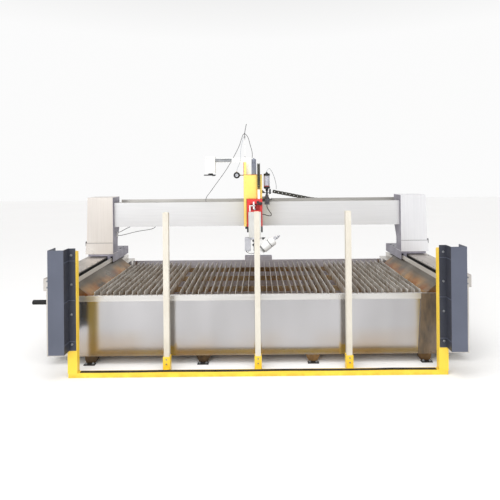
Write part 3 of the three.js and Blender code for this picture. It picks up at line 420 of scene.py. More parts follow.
cream = stain_and_painted_reflection_tint(
    finish("cream_paint", "#dcd7cb", "#cfc8ba", 0.5, grain=(150, 150, 30), depth=0.0001, cloud=4),
    "#b7a98c", 0.5, 0.0, 7, 0.45,
)
cap_plastic = finish("cap_plastic", "#e9e4d6", "#dcd5c4", 0.45, grain=200, cloud=12)
for side in ("left", "centre", "right"):
    node = f"rest_post_{side}"
    dress(cream, node)
    cap = moulded_cap(node, 0.003, 0.0055, 0.008)
    fitted(f"post_cap_{side}", cap, cap_plastic, f"rest_{side}", 0.0012)

# Guard posts and panels: yellow box posts on the toe bar's ends carry folded slate-grey sheet
# panels with pressed ribs, held by bolts through the inner flange.
SIDES = (("left", -1), ("right", 1))
BOLT_HEIGHTS = (0.357, 0.67, 0.985, 1.294)
RIB_HEIGHTS = (0.387, 0.82, 1.234)
RECESS = (1.9125, 1.9842)  # from the post's inner edge to the panel's fold
RECESS_LOW, RECESS_TOP = 0.29, 1.3635
slate = finish("slate_paint", "#5b6070", "#4d5260", 0.42, grain=160, depth=0.0001, cloud=2.5)
painted_shade_slate = finish("painted_shade_slate", "#3d404b", "#2c2e37", 0.5, grain=160, depth=0.0001, cloud=2.5)
dress(yellow, "guard_post_left", "guard_post_right")
dress(slate, "guard_panel_left", "guard_panel_right")
for side, sign in SIDES:
    low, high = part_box(f"guard_post_{side}")
    middle = (low.x + high.x) / 2
    cap = moulded_cap(f"guard_post_{side}", 0.004, 0.007, 0.01)
    fitted(f"guard_post_cap_{side}", cap, yellow, "base", 0.0015)
    bolted(f"guard_bolts_{side}", FRONT, 0.026, [(middle, -0.0356, z) for z in BOLT_HEIGHTS], "base")
    near, far = sign * RECESS[0], sign * RECESS[1]
    # The recess beside the post is lined with darker slate sheets, on its face and on the fold's side:
    # painted shade.
    recess_shade_sheets = bars(
        ((near, -0.0361, RECESS_LOW), (far, -0.0354, RECESS_TOP)),
        ((far, -0.1495, RECESS_LOW), (far + sign * 0.0007, -0.0354, RECESS_TOP)),
    )
    fitted(f"guard_recess_{side}", recess_shade_sheets, painted_shade_slate, "base")
    ribs = bars(*(
        corners
        for z in RIB_HEIGHTS
        for corners in (
            ((near, -0.0425, z - 0.003), (far, -0.0358, z + 0.003)),
            ((far - sign * 0.006, -0.149, z - 0.003), (far, -0.04, z + 0.003)),
        )
    ))
    fitted(f"guard_ribs_{side}", ribs, slate, "base", 0.001)
    seam = np.array([(low.x - 0.004, low.y - 0.004), (high.x + 0.004, low.y - 0.004),
                     (high.x + 0.004, high.y + 0.004), (low.x - 0.004, high.y + 0.004)])
    drawn_in = seam.mean(0) + 0.94 * (seam - seam.mean(0))
    weld = closed(np.stack([np.insert(seam, 2, 0.0502, axis=1), np.insert(drawn_in, 2, 0.056, axis=1)]))
    fitted(f"post_weld_{side}", weld, yellow, "base")

# Catch tank: folded and welded stainless sheet. The front wall has a folded rim, the rear wall a
# weir box, and splash aprons lean out along both sides, with rust stains where slurry settles.
RIM_SHEET = 0.0012
# The tank front's finish paints reflections: its grain, stretched tall, gives wide light and dark vertical
# bands, and the amber tint growing towards the bottom is a painted reflection.
tank_front_painted_reflections = stain_and_painted_reflection_tint(
    finish("tank_stainless", "#c6c5c7", "#a3a1a2", 0.2, 0.95, grain=(2.1, 2.1, 0.3), cloud=0.7, spread=1.5),
    "#b0946a", 0.42, 0.12, 1.3, 0.6,
)
apron_steel = stain_and_painted_reflection_tint(
    stain_and_painted_reflection_tint(
        finish(
            "apron_stainless", "#6f675c", "#4b453c", 0.36, 0.55, grain=(30, 1.5, 12), depth=0.0002, cloud=3,
        ),
        "#b48a56", 0.875, 0.80, 4, 0.9,
    ),
    "#85480f", 0.845, 0.782, 6, 0.97,
)
rim_steel = finish("rim_stainless", "#d9d7d4", "#c4c2bf", 0.3, 0.8, grain=(1.2, 30, 60), cloud=1)
rear_steel = finish("rear_stainless", "#dcdae2", "#c6c3cc", 0.42, 0.3, grain=(1.2, 30, 60), cloud=1)
# Dark brown-grey for the right front end panel: painted shade.
painted_shade_end_sheet = finish("end_panel_painted_shade", "#8a7866", "#5d5853", 0.34, 0.45, grain=(30, 1, 8), cloud=4)
strip_steel = finish("strip_stainless", "#e4e0da", "#cfcac3", 0.4, 0.35, grain=(30, 1.2, 30), cloud=2)
slurry_steel = stain_and_painted_reflection_tint(
    finish("slurry_steel", "#a07c4c", "#6a4c2c", 0.75, 0.1, grain=25, depth=0.002, cloud=3),
    "#14120f", 0.0985, 0.0955, 1, 1.0,
)
dress(tank_front_painted_reflections, "tank_front")
dress(rear_steel, "tank_rear")
dress(apron_steel, "tank_side_left", "tank_side_right")
dress(slurry_steel, "tank_floor")
low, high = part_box("tank_front")
rim_half, rim_low, wall_low, wall_face = 2.0035, 0.7145, 0.0985, 0.2698
rim = bars(
    ((-rim_half, low.y - RIM_SHEET, rim_low), (rim_half, low.y - 0.0002, high.z + 0.001)),
    ((-rim_half, low.y - RIM_SHEET, high.z + 0.0003), (rim_half, high.y + 0.016, high.z + 0.0022)),
)
fitted("front_rim", rim, rim_steel, "base", 0.0006)
# At the right front corner an end panel covers the wall's end beyond the rim; its dark brown-grey is painted
# shade.
end_front, end_out, end_step, end_top = low.y - RIM_SHEET - 0.0014, 2.004, 0.7125, 0.7755
lower = [(1.8, wall_low), (end_out, wall_low), (end_out, end_step), (1.832, end_step)]
upper = [(1.832, end_step), (end_out, end_step), (end_out, end_top), (1.835, end_top)]
end_panel = together(
    swept(lower, 1, end_front, wall_face),
    swept(upper, 1, end_front, end_front + 0.001),
)
fitted("front_end_panel", end_panel, painted_shade_end_sheet, "base")
for side, sign in SIDES:
    lip = bar_stock((sign * 2.0538, 0.2795, 0.9065), (sign * 2.0552, 1.8325, 0.9615))
    fitted(f"apron_lip_{side}", lip, strip_steel, "base")
    runs = np.linspace(0.29, 1.82, 90)
    drip = 0.0012 + 0.0022 * np.abs(np.sin(9 * runs) * np.sin(23 * runs + 1))
    crust = np.empty((len(runs), 5, 3))
    across = np.array([1.853, 1.862, 1.88, 1.894, 1.897])
    lift = np.array([0.0, 1.0, 0.7, 1.6, 0.0])
    crust[..., 0], crust[..., 1] = sign * across, runs[:, None]
    crust[..., 2] = 0.7783 + lift * drip[:, None]
    fitted(f"foot_crust_{side}", closed(crust), slurry_steel, "base")
foot_plates, foot_bolts = [], []
for x in (-1.895, -0.62, 0.62, 1.895):
    for y0, y1, y in ((0.25, 0.2995, 0.274), (2.1405, 2.19, 2.166)):
        foot_plates.append(bar_stock((x - 0.062, y0, 0.0005), (x + 0.062, y1, 0.009)))
        foot_bolts += [(x - 0.038, y, 0.009), (x + 0.038, y, 0.009)]
base_black = finish("base_black", "#2a2a2c", "#17171a", 0.5, grain=120, depth=0.0002, cloud=8)
fitted("foot_plates", together(*foot_plates), base_black, "base", 0.001)
bolted("anchor_bolts", UP, 0.03, foot_bolts, "base")

# Slats: rows of loose steel strips on edge, standing in notched bars. The jet has cut nicks in
# their top edges and slurry has rusted them from below, so no two are alike.
NICKS = 26
SLAT_PITCH, SLAT_THICK, SLAT_HIGH = 0.07, 0.003, 0.1
NOTCH_PROUD = 0.004
slat_steel = stain_and_painted_reflection_tint(
    finish(
        "slat_steel", "#f0eeea", "#aaa399", 0.4, 0.25, grain=(45, 3, 20), depth=0.0006, cloud=14, spread=0.8,
    ),
    "#94713f", 0.808, 0.74, 12, 0.85,
)
notch_steel = stain_and_painted_reflection_tint(
    finish("notch_steel", "#b09a78", "#7a6246", 0.7, 0.15, grain=40, depth=0.001, cloud=9),
    "#8a5826", 0.72, 0.65, 14, 0.8,
)
chance = np.random.default_rng(7)
for node, centre, count in (
    ("slats_left", -1.418, 13), ("slats_centre", 0.0, 26), ("slats_right", 1.418, 13),
):
    low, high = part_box(node)
    front, back, top = low.y, high.y, high.z
    along = np.linspace(front, back, 150)
    places = centre + (np.arange(count) - (count - 1) / 2) * SLAT_PITCH
    depth = 0.0015 * (1 + np.sin(along * 37 + chance.uniform(0, 6, (count, 1))))
    for nick, nick_deep in zip(
        chance.uniform(front, back, (NICKS, count, 1)), chance.uniform(0.002, 0.011, (NICKS, count, 1))
    ):
        depth = np.maximum(depth, nick_deep * np.exp(-(((along - nick) / 0.011) ** 2)))
    bow = 0.0035 * np.sin(along * chance.uniform(1.5, 3.5, (count, 1)) + chance.uniform(0, 6, (count, 1)))
    ring = np.empty((count, len(along), 4, 3))
    ring[..., 0] = (places[:, None] + bow)[..., None] + np.array([-0.5, 0.5, 0.5, -0.5]) * SLAT_THICK
    ring[..., 1] = along[None, :, None]
    ring[..., :2, 2] = top - SLAT_HIGH
    ring[..., 2:, 2] = (top - depth)[..., None]
    bank = fitted(f"{node}_worn", together(*(closed(one) for one in ring)), slat_steel, "base")
    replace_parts(bank, node)
    bar_top = top - SLAT_HIGH + NOTCH_PROUD
    teeth = []
    for x in places:
        teeth += [
            (x - 0.006, bar_top), (x - 0.0022, bar_top - 0.006), (x + 0.0022, bar_top - 0.006),
            (x + 0.006, bar_top),
        ]
    outline = [(low.x, low.z), (high.x, low.z), (high.x, bar_top), *reversed(teeth), (low.x, bar_top)]
    combs = together(*(
        swept(outline, 1, y - 0.006, y + 0.006) for y in np.linspace(front + 0.01, back - 0.01, 4)
    ))
    fitted(f"{node}_notched_bars", combs, notch_steel, "base")
dress(notch_steel, "bed_rail_left", "bed_rail_right")

# Side beams and rail covers: long stainless box beams on levelling pads. Each carries a ground
# linear rail and a rack under a folded cover, and a bristle strip closes the slot for the saddle.
BRISTLE_DROP = 0.052
REAR_PLATE = (
    (1.9755, 0.1055), (2.3695, 0.1055), (2.3695, 0.8395), (2.0765, 0.8395), (2.0765, 0.7795),
    (1.9755, 0.7795),
)
beam_steel = finish(
    "beam_stainless", "#d8d4cf", "#bdb8b2", 0.34, 0.85, grain=(40, 1.2, 4), cloud=0.9, spread=1.2,
)
cover_steel = finish("cover_stainless", "#c6bfb8", "#a8a19a", 0.4, 0.8, grain=(50, 1.0, 50), cloud=1.1)
ground_steel = finish("ground_steel", "#c9cacc", "#9fa1a4", 0.18, 1.0, grain=(200, 2, 200), cloud=3)
rack_steel = finish("rack_steel", "#5c5d60", "#3a3b3e", 0.45, 0.9, grain=60, cloud=6)
bristle_black = finish(
    "bristle_black", "#1b1a19", "#0b0b0b", 0.9, grain=(20, 900, 12), depth=0.0015, cloud=10,
)
dress(beam_steel, "side_beam_left", "side_beam_right")
dress(cover_steel, "rail_cover_left", "rail_cover_right")
dress(ground_steel, "rail_left", "rail_right")
dress(rack_steel, "rack_left", "rack_right")
for side, sign in SIDES:
    low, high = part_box(f"rail_cover_{side}")
    inner = min(abs(low.x), abs(high.x))
    outer = max(abs(low.x), abs(high.x))
    top, front, back = high.z, low.y, high.y
    runs = np.linspace(front + 0.01, back - 0.01, 240)
    ragged = 0.003 * np.sin(runs * 190) * np.sin(runs * 31)
    bristles = np.empty((len(runs), 4, 3))
    bristles[..., 1] = runs[:, None]
    bristles[..., 0] = sign * (inner + np.array([-0.0095, -0.0015, -0.0015, -0.0095]))
    bristles[:, 2:, 2] = top - 0.012
    bristles[:, :2, 2] = (top - BRISTLE_DROP + ragged)[:, None]
    fitted(f"slot_bristles_{side}", closed(bristles), bristle_black, "base")
    rows = np.linspace(front + 0.06, back - 0.06, 12)
    screws = [(sign * x, y, top) for x in (outer - 0.035, inner + 0.03) for y in rows]
    bolted(f"cover_screws_{side}", UP, 0.014, screws, "base")
    left, right = sorted((sign * inner, sign * outer))
    joints = together(*(
        bar_stock((left + 0.001, y - 0.012, top + 0.0002), (right - 0.001, y + 0.012, top + 0.0016))
        for y in np.linspace(front, back, 4)[1:-1]
    ))
    fitted(f"cover_joints_{side}", joints, cover_steel, "base", 0.0004)
    plate = [(sign * x, z) for x, z in REAR_PLATE]
    fitted(
        f"beam_rear_plate_{side}", swept(plate, 1, back - 0.0035, back - 0.0005), beam_steel,
        "base",
    )
    ends = [(sign * x, front, z) for x in (inner + 0.04, outer - 0.04) for z in (top - 0.03, top - 0.1)]
    ends += [(sign * x, front, z) for x in (2.0, 2.345) for z in (0.13, 0.42, 0.74)]
    bolted(f"end_bolts_{side}", FRONT, 0.02, ends, "base")

# Saddles, legs and drives: a machined saddle runs on each rail and carries a folded stainless leg
# with a flared skirt. A servomotor in the leg turns the pinion; the open back has a screwed cover.
TEETH = 24
LATCH_X = (2.404, 2.43)
LEG_SIDE = ((0.008, 1.0205), (0.205, 1.0205), (0.205, 1.2), (0.3, 1.39), (0.3, 1.811), (0.008, 1.811))
saddle_paint = finish("saddle_paint", "#4a4b52", "#2c2d31", 0.5, 0.3, grain=80, depth=0.0002, cloud=5)
# Lit and shaded copies of one leg stainless: the left leg's warmer, darker copy is painted shade, the right
# leg's lighter copy painted light.
left_leg_painted_shade_steel = finish(
    "left_leg_stainless_painted_shade", "#dcd6d0", "#cdc6bf", 0.36, 0.6, grain=(90, 90, 2.0), cloud=1.6, spread=1.3,
)
right_leg_painted_light_steel = finish(
    "right_leg_stainless_painted_light", "#ededef", "#dfdfe2", 0.36, 0.55, grain=(90, 90, 2.0), cloud=1.6, spread=1.3,
)
motor_black = finish("motor_black", "#2b2c30", "#1b1c1f", 0.42, grain=150, depth=0.0002, cloud=9)
# Lavender grey, painted shade: the shaded inner sides of the legs, also given to the saddles.
painted_shade_lavender = finish("painted_shade_lavender", "#9c99a5", "#83808c", 0.45, 0.3, grain=80, depth=0.0002, cloud=5)
dress(painted_shade_lavender, "saddle_left", "saddle_right")
dress(left_leg_painted_shade_steel, "leg_left")
dress(right_leg_painted_light_steel, "leg_right")
for side, sign, leg_steel in (("left", -1, left_leg_painted_shade_steel), ("right", 1, right_leg_painted_light_steel)):
    low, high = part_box(f"leg_{side}")
    inner = min(abs(low.x), abs(high.x))
    back, foot, top = high.y - 0.001, low.y + 0.206, high.z
    path = [(foot - 0.001, low.z + 0.004), (foot - 0.001, 1.2), (back, 1.39), (back, top - 0.008)]
    outline = [*path, *((y - 0.002, z) for y, z in reversed(path))]
    cover = swept(outline, 0, *sorted((sign * (inner + 0.008), sign * (inner + 0.345))))
    fitted(f"leg_back_cover_{side}", cover, leg_steel, "gantry")
    screws = [(sign * x, back + 0.0004, z) for x in (inner + 0.025, inner + 0.32) for z in (1.45, 1.6, 1.75)]
    screws += [(sign * x, foot, z) for x in (inner + 0.025, inner + 0.32) for z in (1.05, 1.17)]
    bolted(f"leg_screws_{side}", (0, 1, 0), 0.014, screws, "gantry")
    # A thin lavender-grey sheet on the leg's inner side paints the shade that falls there.
    outline = [(low.y + y, z) for y, z in LEG_SIDE]
    leg_shade_sheet = swept(outline, 0, *sorted((sign * (inner - 0.0008), sign * (inner - 0.0001))))
    fitted(f"leg_side_{side}", leg_shade_sheet, painted_shade_lavender, "gantry")
    left, right = sorted(sign * x for x in LATCH_X)
    latch = together(
        bar_stock((left, 1.5, 1.125), (right, 1.532, 1.19)),
        turned([(0, 0.009), (0.012, 0.009), (0.014, 0.006)], (sign * 2.417, 1.5, 1.158), FRONT, 14),
    )
    fitted(f"leg_latch_{side}", latch, motor_black, "gantry", 0.002)
    left, right = sorted((sign * inner, sign * LATCH_X[0]))
    seam = bar_stock((left, low.y - 0.0018, 1.17), (right, low.y - 0.0002, 1.174))
    fitted(f"skirt_seam_{side}", seam, saddle_paint, "gantry", 0.0004)
    bolts = [(sign * (inner + 0.038), y, 1.0152) for y in (1.78, 1.92, 2.06)]
    bolted(f"saddle_bolts_{side}", UP, 0.024, bolts, "gantry")

    low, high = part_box(f"gantry_motor_{side}")
    x, y = (low.x + high.x) / 2, (low.y + high.y) / 2
    half = (high.x - low.x) / 2
    motor = together(
        bar_stock((x - half, y - half, low.z), (x + half, y + half, low.z + 0.012)),
        bar_stock(
            (x - half + 0.004, y - half + 0.004, low.z + 0.012),
            (x + half - 0.004, y + half - 0.004, high.z - 0.05),
        ),
        turned(
            [(0, half - 0.006), (0.04, half - 0.008), (0.05, half - 0.016)], (x, y, high.z - 0.05), sides=28,
        ),
        bar_stock((x - 0.02, y + half - 0.006, high.z - 0.1), (x + 0.02, y + half - 0.0005, high.z - 0.055)),
    )
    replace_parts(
        fitted(f"drive_motor_{side}", motor, motor_black, "gantry", 0.003),
        f"gantry_motor_{side}",
    )

    low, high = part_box(f"pinion_{side}")
    x, y, radius = (low.x + high.x) / 2, (low.y + high.y) / 2, (high.x - low.x) / 2
    step = np.arange(4 * TEETH)
    reach = np.where(step % 4 < 2, radius, radius - 0.005)
    angle = 2 * math.pi * (step + np.where(step % 2 == 0, 0.15, -0.15)) / len(step)
    gear = np.stack([x + reach * np.cos(angle), y + reach * np.sin(angle)], axis=1)
    pinion = together(
        swept(gear, 2, low.z, low.z + 0.044),
        turned([(0, 0.0095), (high.z - low.z - 0.044, 0.0095)], (x, y, low.z + 0.0435), sides=20),
    )
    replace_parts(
        fitted(f"drive_pinion_{side}", pinion, rack_steel, f"pinion_{side}"), f"pinion_{side}",
    )

# Gantry beam: a welded box beam with two rails and a rack on its face, behind a stainless cover in
# three lengths that stands off it. A folded trough along its back holds the cable chain.
face_steel = finish(
    "face_stainless", "#dfdfe0", "#d3d3d4", 0.42, 0.45, grain=(2.0, 90, 90), cloud=0.8, spread=1.4,
)
trough_steel = finish("trough_stainless", "#c9c7c3", "#aaa8a4", 0.4, 0.8, grain=(1.0, 40, 40), cloud=1.2)
dress(trough_steel, "chain_trough", "beam")
dress(face_steel, "beam_cover")
dress(ground_steel, "beam_rail_lower", "beam_rail_upper")
dress(rack_steel, "beam_rack")
low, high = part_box("beam_cover")
top_screws = [(x, low.y + 0.02, high.z) for x in np.linspace(low.x + 0.08, high.x - 0.08, 16)]
bolted("beam_cover_screws", UP, 0.014, top_screws, "gantry")
thirds = np.linspace(low.x, high.x, 4)
top_band = together(*(
    bar_stock((a + 0.0015, low.y + 0.0004, high.z + 0.0002), (b - 0.0015, high.y - 0.0004, high.z + 0.0016))
    for a, b in zip(thirds[:-1], thirds[1:])
))
# The cover's top band is a darker copy of the trough's stainless: a painted reflection that darkens the flat
# top.
painted_reflection_top = finish("top_band_painted_reflection", "#a9a6a1", "#8e8b86", 0.42, 0.8, grain=(1.0, 40, 40), cloud=1.2)
fitted("beam_top_band", top_band, painted_reflection_top, "gantry", 0.0004)
trough_end = bar_stock((low.x + 0.0005, 1.8603, 1.7), (low.x + 0.0795, 1.8633, 1.76))
fitted("trough_end_plate", trough_end, trough_steel, "gantry", 0.0004)
low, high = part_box("leg_cables")
gland = together(
    bar_stock(low, (low.x + 0.0045, low.y + 0.03, low.z + 0.075)),
    *(
        turned(
            [(0, 0.0125), (0.006, 0.0125), (0.007, 0.009), (0.012, 0.0085)],
            (low.x + 0.004, low.y + 0.015, low.z + rise), (1, 0, 0), 12,
        )
        for rise in (0.015, 0.06)
    ),
)
white_paint = finish("white_paint", "#f3f3f1", "#e4e4e1", 0.42, grain=180, depth=0.0001, cloud=4)
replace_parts(fitted("cable_gland", gland, white_paint, "gantry", 0.0005), "leg_cables")

# Carriage and column: a dark steel ring runs round the beam cover on four bearing blocks. The
# yellow welded column is bolted to its front and holds the vertical slide's motor.
dress(saddle_paint, "carriage_frame")
column_yellow = finish("column_yellow", "#fbea92", "#f6dc66", 0.4, grain=200, depth=0.0001, cloud=3)
column_edge_orange = finish("edge_red", "#d8762c", "#b75a20", 0.5, grain=120, cloud=20)
dress(column_yellow, "column")
low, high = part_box("column")
plate_low, plate_high = 1.797, 2.12
# Thin orange strips along the column's top plate edge, its middle seam and its left edges.
trim = bars(
    (
        (low.x + 0.0065, low.y - 0.0016, plate_high - 0.006),
        (high.x - 0.001, low.y - 0.0002, plate_high + 0.0005),
    ),
    ((-0.004, low.y - 0.0014, plate_low), (-0.001, low.y - 0.0002, plate_high - 0.006)),
    ((low.x - 0.0016, low.y + 0.002, low.z), (low.x - 0.0002, low.y + 0.008, high.z)),
    ((low.x + 0.0001, low.y - 0.0014, plate_high), (low.x + 0.0059, low.y - 0.0002, high.z)),
)
fitted("column_edges", trim, column_edge_orange, "carriage")
Z_STROKE = 0.08
frame_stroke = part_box("slide_frame")[1].z + Z_STROKE + 0.012
cap_screws = [(x, low.y, z) for x in (low.x + 0.022, -0.026) for z in (frame_stroke, 1.95, 2.02, 2.085)]
cap_screws += [(high.x - 0.012, low.y, z) for z in (frame_stroke, 2.085)]
fitted("column_screws", copies(bolt(FRONT, 0.014), cap_screws), column_yellow, "carriage")
bolted("ring_screws", FRONT, 0.018, [(0.069, 1.495, z) for z in (1.37, 1.39)], "carriage")
slide_rails = together(*(
    bar_stock((x - 0.008, 1.206, 1.43), (x + 0.008, 1.2195, 1.79)) for x in (-0.15, 0.053)
))
fitted("column_slide_rails", slide_rails, ground_steel, "carriage", 0.001)
band_front, band_back = low.y - 0.0015, low.y - 0.0002
left_band = bars(
    ((low.x + 0.0005, band_front, low.z + 0.0005), (low.x + 0.034, band_back, plate_low - 0.0005)),
    ((low.x + 0.0065, band_front, plate_high + 0.0008), (low.x + 0.036, band_back, high.z - 0.001)),
)
fitted("column_left_band", left_band, column_yellow, "carriage")
low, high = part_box("z_motor")
x, y, half = (low.x + high.x) / 2, (low.y + high.y) / 2, (high.x - low.x) / 2
motor_grey = finish("motor_grey", "#8f93a0", "#6d717e", 0.36, 0.5, grain=(180, 180, 20), cloud=7)
motor = together(
    bar_stock((low.x, low.y, low.z), (high.x, high.y, low.z + 0.012)),
    bar_stock((low.x + 0.002, low.y + 0.002, low.z + 0.012), (high.x - 0.002, high.y - 0.002, low.z + 0.15)),
    turned([(0, half - 0.003), (0.055, half - 0.003), (0.062, half - 0.012)], (x, y, low.z + 0.15), sides=28),
    bar_stock((x - 0.016, low.y + 0.0005, high.z - 0.065), (x + 0.016, low.y + 0.012, high.z - 0.03)),
    turned([(0, 0.009), (0.01, 0.009), (0.013, 0.007)], (x, y, high.z - 0.0135), sides=14),
)
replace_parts(fitted("slide_motor", motor, motor_grey, "carriage", 0.002), "z_motor")

# Hose arm: a white square tube across the top of the column. It carries the machine-vision box at
# its left end, a punched cable duct along it, and a whip mast that holds the hoses clear.
dress(white_paint, "hose_arm")
SLOTS, DUCT_LEFT, DUCT_RIGHT = 20, -0.557, -0.335
duct_plastic = finish("duct_plastic", "#b9bcbf", "#9b9ea1", 0.55, grain=300, cloud=10)
dark_grey_and_slot_shade = finish("dark_grey_and_painted_slot_shade", "#55575a", "#3b3d40", 0.8, grain=300, cloud=10)
duct = bar_stock((DUCT_LEFT, 1.2645, 2.296), (DUCT_RIGHT, 1.2698, 2.34))
fitted("cable_duct", duct, duct_plastic, "carriage", 0.001)
# The duct's slots are flat dark plates on its face: painted shade in the punched holes. The same dark grey
# colours the mast sleeve and the case seams as their own colour.
slots = copies(
    bar_stock((-0.0028, 1.2638, -0.0072), (0.0028, 1.2645, 0.0072)),
    [(x, 0, z) for x in np.linspace(DUCT_LEFT + 0.01, DUCT_RIGHT - 0.01, SLOTS) for z in (2.307, 2.329)],
)
fitted("duct_slots", slots, dark_grey_and_slot_shade, "carriage")
ties = together(*(
    turned([(0, r - 0.002), (0.001, r), (0.006, r), (0.007, r - 0.002)], (x, y, z), (0.05, 0, 1), 14)
    for x, y, z, r in (
        (-0.156, 1.284, 2.63, 0.013), (-0.157, 1.283, 2.672, 0.012), (-0.1545, 1.29, 2.36, 0.006),
    )
))
fitted("hose_ties", ties, motor_black, "carriage")
sleeve_marks = [
    (-154.8, 1290, 2600), (-155.2, 1290, 2640), (-155, 1290, 2680), (-146, 1290, 2740), (-130.6, 1290, 2810),
]
fitted("mast_sleeve", hose(route(sleeve_marks), 0.0042), dark_grey_and_slot_shade, "carriage")
low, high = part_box("vision_box")
CASE_LEFT, CASE_RIGHT, CASE_LOW, LID_IN = -0.69, -0.56, 2.14, 0.006
case = bars(
    ((CASE_LEFT, low.y, CASE_LOW), (CASE_RIGHT, high.y, high.z)),
    (
        (CASE_LEFT + LID_IN, low.y + LID_IN, high.z + 0.0002),
        (CASE_RIGHT - LID_IN, high.y - LID_IN, high.z + 0.0035),
    ),
)
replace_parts(fitted("vision_case", case, white_paint, "carriage", 0.004), "vision_box")
case_middle = ((CASE_LEFT + CASE_RIGHT) / 2, (low.y + high.y) / 2, CASE_LOW)
lamp_ring = together(
    turned([(0, 0.03), (0.012, 0.034), (0.016, 0.034)], case_middle, (0, 0, -1), 28),
    bar_stock((low.x, low.y + 0.003, low.z), (high.x, high.y - 0.003, low.z + 0.0145)),
    bar_stock((-0.6, low.y + 0.004, low.z - 0.006), (CASE_RIGHT, low.y + 0.037, low.z + 0.0005)),
)
fitted("vision_plate", lamp_ring, motor_black, "carriage", 0.002)
seams = bars(*(
    ((CASE_LEFT - 0.0005, low.y - 0.0008, z), (CASE_RIGHT + 0.0005, low.y - 0.0001, z + 0.0015))
    for z in (2.168, 2.345)
))
fitted("vision_seams", seams, dark_grey_and_slot_shade, "carriage")

# Pressure gauge: a round black case with a grey dial, held out to the column's left on a short
# brass pipe.
DIAL_X, GLASS_Y, DIAL_Z = -0.265, 1.2, 2.112
CASE_DEPTH, FIRST_TICK, LAST_TICK, TICKS, NEEDLE = 0.038, 225, -45, 28, 150


def behind_glass(depth):
    """The point of the gauge's axis that far behind its glass."""
    return (DIAL_X, GLASS_Y + depth, DIAL_Z)


def stroke(angle, reach, half, depths):
    """A flat stroke on the dial: its two radii, half its width at each, and its front and back."""
    out = np.array([math.cos(angle), math.sin(angle)])
    side = np.array([-math.sin(angle), math.cos(angle)])
    ends = [out * reach[k] + way * side * half[k] for k, way in ((0, -1), (1, -1), (1, 1), (0, 1))]
    return swept([(DIAL_X + u, DIAL_Z + v) for u, v in ends], 1, *(GLASS_Y + depth for depth in depths))


gauge_black = finish("gauge_black", "#17181a", "#0e0f10", 0.3, grain=200, cloud=10)
case_profile = [
    (0, 0.036), (0.003, 0.0425), (0.008, 0.0435), (0.034, 0.0435), (0.038, 0.041), (0.038, 0.024),
    (0.0345, 0.023), (0.0345, 0.0005),
]
case = turned(case_profile, behind_glass(CASE_DEPTH), FRONT, 40)
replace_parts(fitted("gauge_case", case, gauge_black, "carriage"), "pressure_gauge")
dial_grey = finish("dial_grey", "#c9cbd0", "#b4b6bb", 0.35, grain=100, cloud=20)
face = turned([(0, 0.0225), (0.0008, 0.0225), (0.0009, 0.0004)], behind_glass(0.0033), FRONT, 40)
fitted("gauge_dial", face, dial_grey, "carriage")
marks = [
    stroke(angle, (0.015 if i % 9 == 0 else 0.018, 0.0215), (0.0006, 0.0006), (0.0017, 0.0023))
    for i, angle in enumerate(np.radians(np.linspace(FIRST_TICK, LAST_TICK, TICKS)))
]
marks.append(stroke(math.radians(NEEDLE), (-0.008, 0.018), (0.0016, 0.00032), (0.001, 0.0018)))
marks.append(turned([(0, 0.003), (0.0014, 0.003)], behind_glass(0.0022), FRONT, 14))
fitted("gauge_marks", together(*marks), gauge_black, "carriage")
brass = finish("brass", "#b99552", "#8f6f35", 0.3, 1.0, grain=200, cloud=15)
pipe = together(
    turned([(0, 0.0075), (0.012, 0.0075), (0.0125, 0.005), (0.04, 0.005), (0.0405, 0.0075), (0.0515, 0.0075)],
           (-0.2235, 1.228, 2.112), (1, 0, 0), 6),
    turned([(0, 0.006), (0.008, 0.006), (0.009, 0.0045), (0.014, 0.0045)], (-0.265, 1.219, 2.1495), sides=12),
)
fitted("gauge_pipe", pipe, brass, "carriage")

# Abrasive hopper and metering valve: a clear acrylic cylinder, nearly empty of garnet, between
# black end caps with tie rods, and the grey valve under it that doses the abrasive.
HOPPER_X, HOPPER_Y, HOPPER_LOW, HOPPER_TOP = 0.14, 1.25, 1.926, 2.132


def on_hopper(height):
    """The point of that height on the axis of the hopper and the valve."""
    return (HOPPER_X, HOPPER_Y, height)


clear = finish("clear_acrylic", "#d6d6e0", "#c0c1cc", 0.12, grain=20, cloud=6)
clear.node_tree.nodes["Principled BSDF"].inputs["Transmission Weight"].default_value = 0.35
garnet = finish("garnet_grit", "#a8504e", "#8c3c3c", 0.9, grain=900, depth=0.0006, cloud=40)
shell = turned([(0, 0.0385), (0.146, 0.0385)], on_hopper(HOPPER_LOW + 0.03), sides=40)
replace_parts(fitted("hopper_shell", shell, clear, "carriage"), "abrasive_hopper")
caps = together(
    turned([(0, 0.034), (0.004, 0.043), (0.03, 0.043), (0.031, 0.04)], on_hopper(HOPPER_LOW), sides=40),
    turned(
        [(0, 0.04), (0.001, 0.043), (0.026, 0.043), (0.03, 0.036)], on_hopper(HOPPER_TOP - 0.03), sides=40,
    ),
    turned(
        [(0, 0.02), (0.012, 0.018), (0.014, 0.009), (0.026, 0.008)], on_hopper(HOPPER_TOP - 0.002), sides=16,
    ),
)
fitted("hopper_caps", caps, gauge_black, "carriage")
rods = together(*(
    turned(
        [(0, 0.003), (0.15, 0.003)],
        (HOPPER_X + 0.0415 * math.cos(a), HOPPER_Y + 0.0415 * math.sin(a), HOPPER_LOW + 0.028), sides=10,
    )
    for a in np.radians((200, 320, 80))
))
fitted("hopper_rods", rods, steel_bolts, "carriage")
level = together(
    turned(
        [(0, 0.0022), (0.147, 0.0022)], (HOPPER_X - 0.0375, HOPPER_Y - 0.0175, HOPPER_LOW + 0.0295), sides=10,
    ),
    turned([(0, 0.0388), (0.012, 0.0388), (0.0125, 0.0386)], on_hopper(HOPPER_LOW + 0.0305), sides=40),
)
fitted("hopper_garnet", level, garnet, "carriage")
valve_grey = finish("valve_grey", "#55555b", "#37373c", 0.45, 0.2, grain=200, cloud=12)
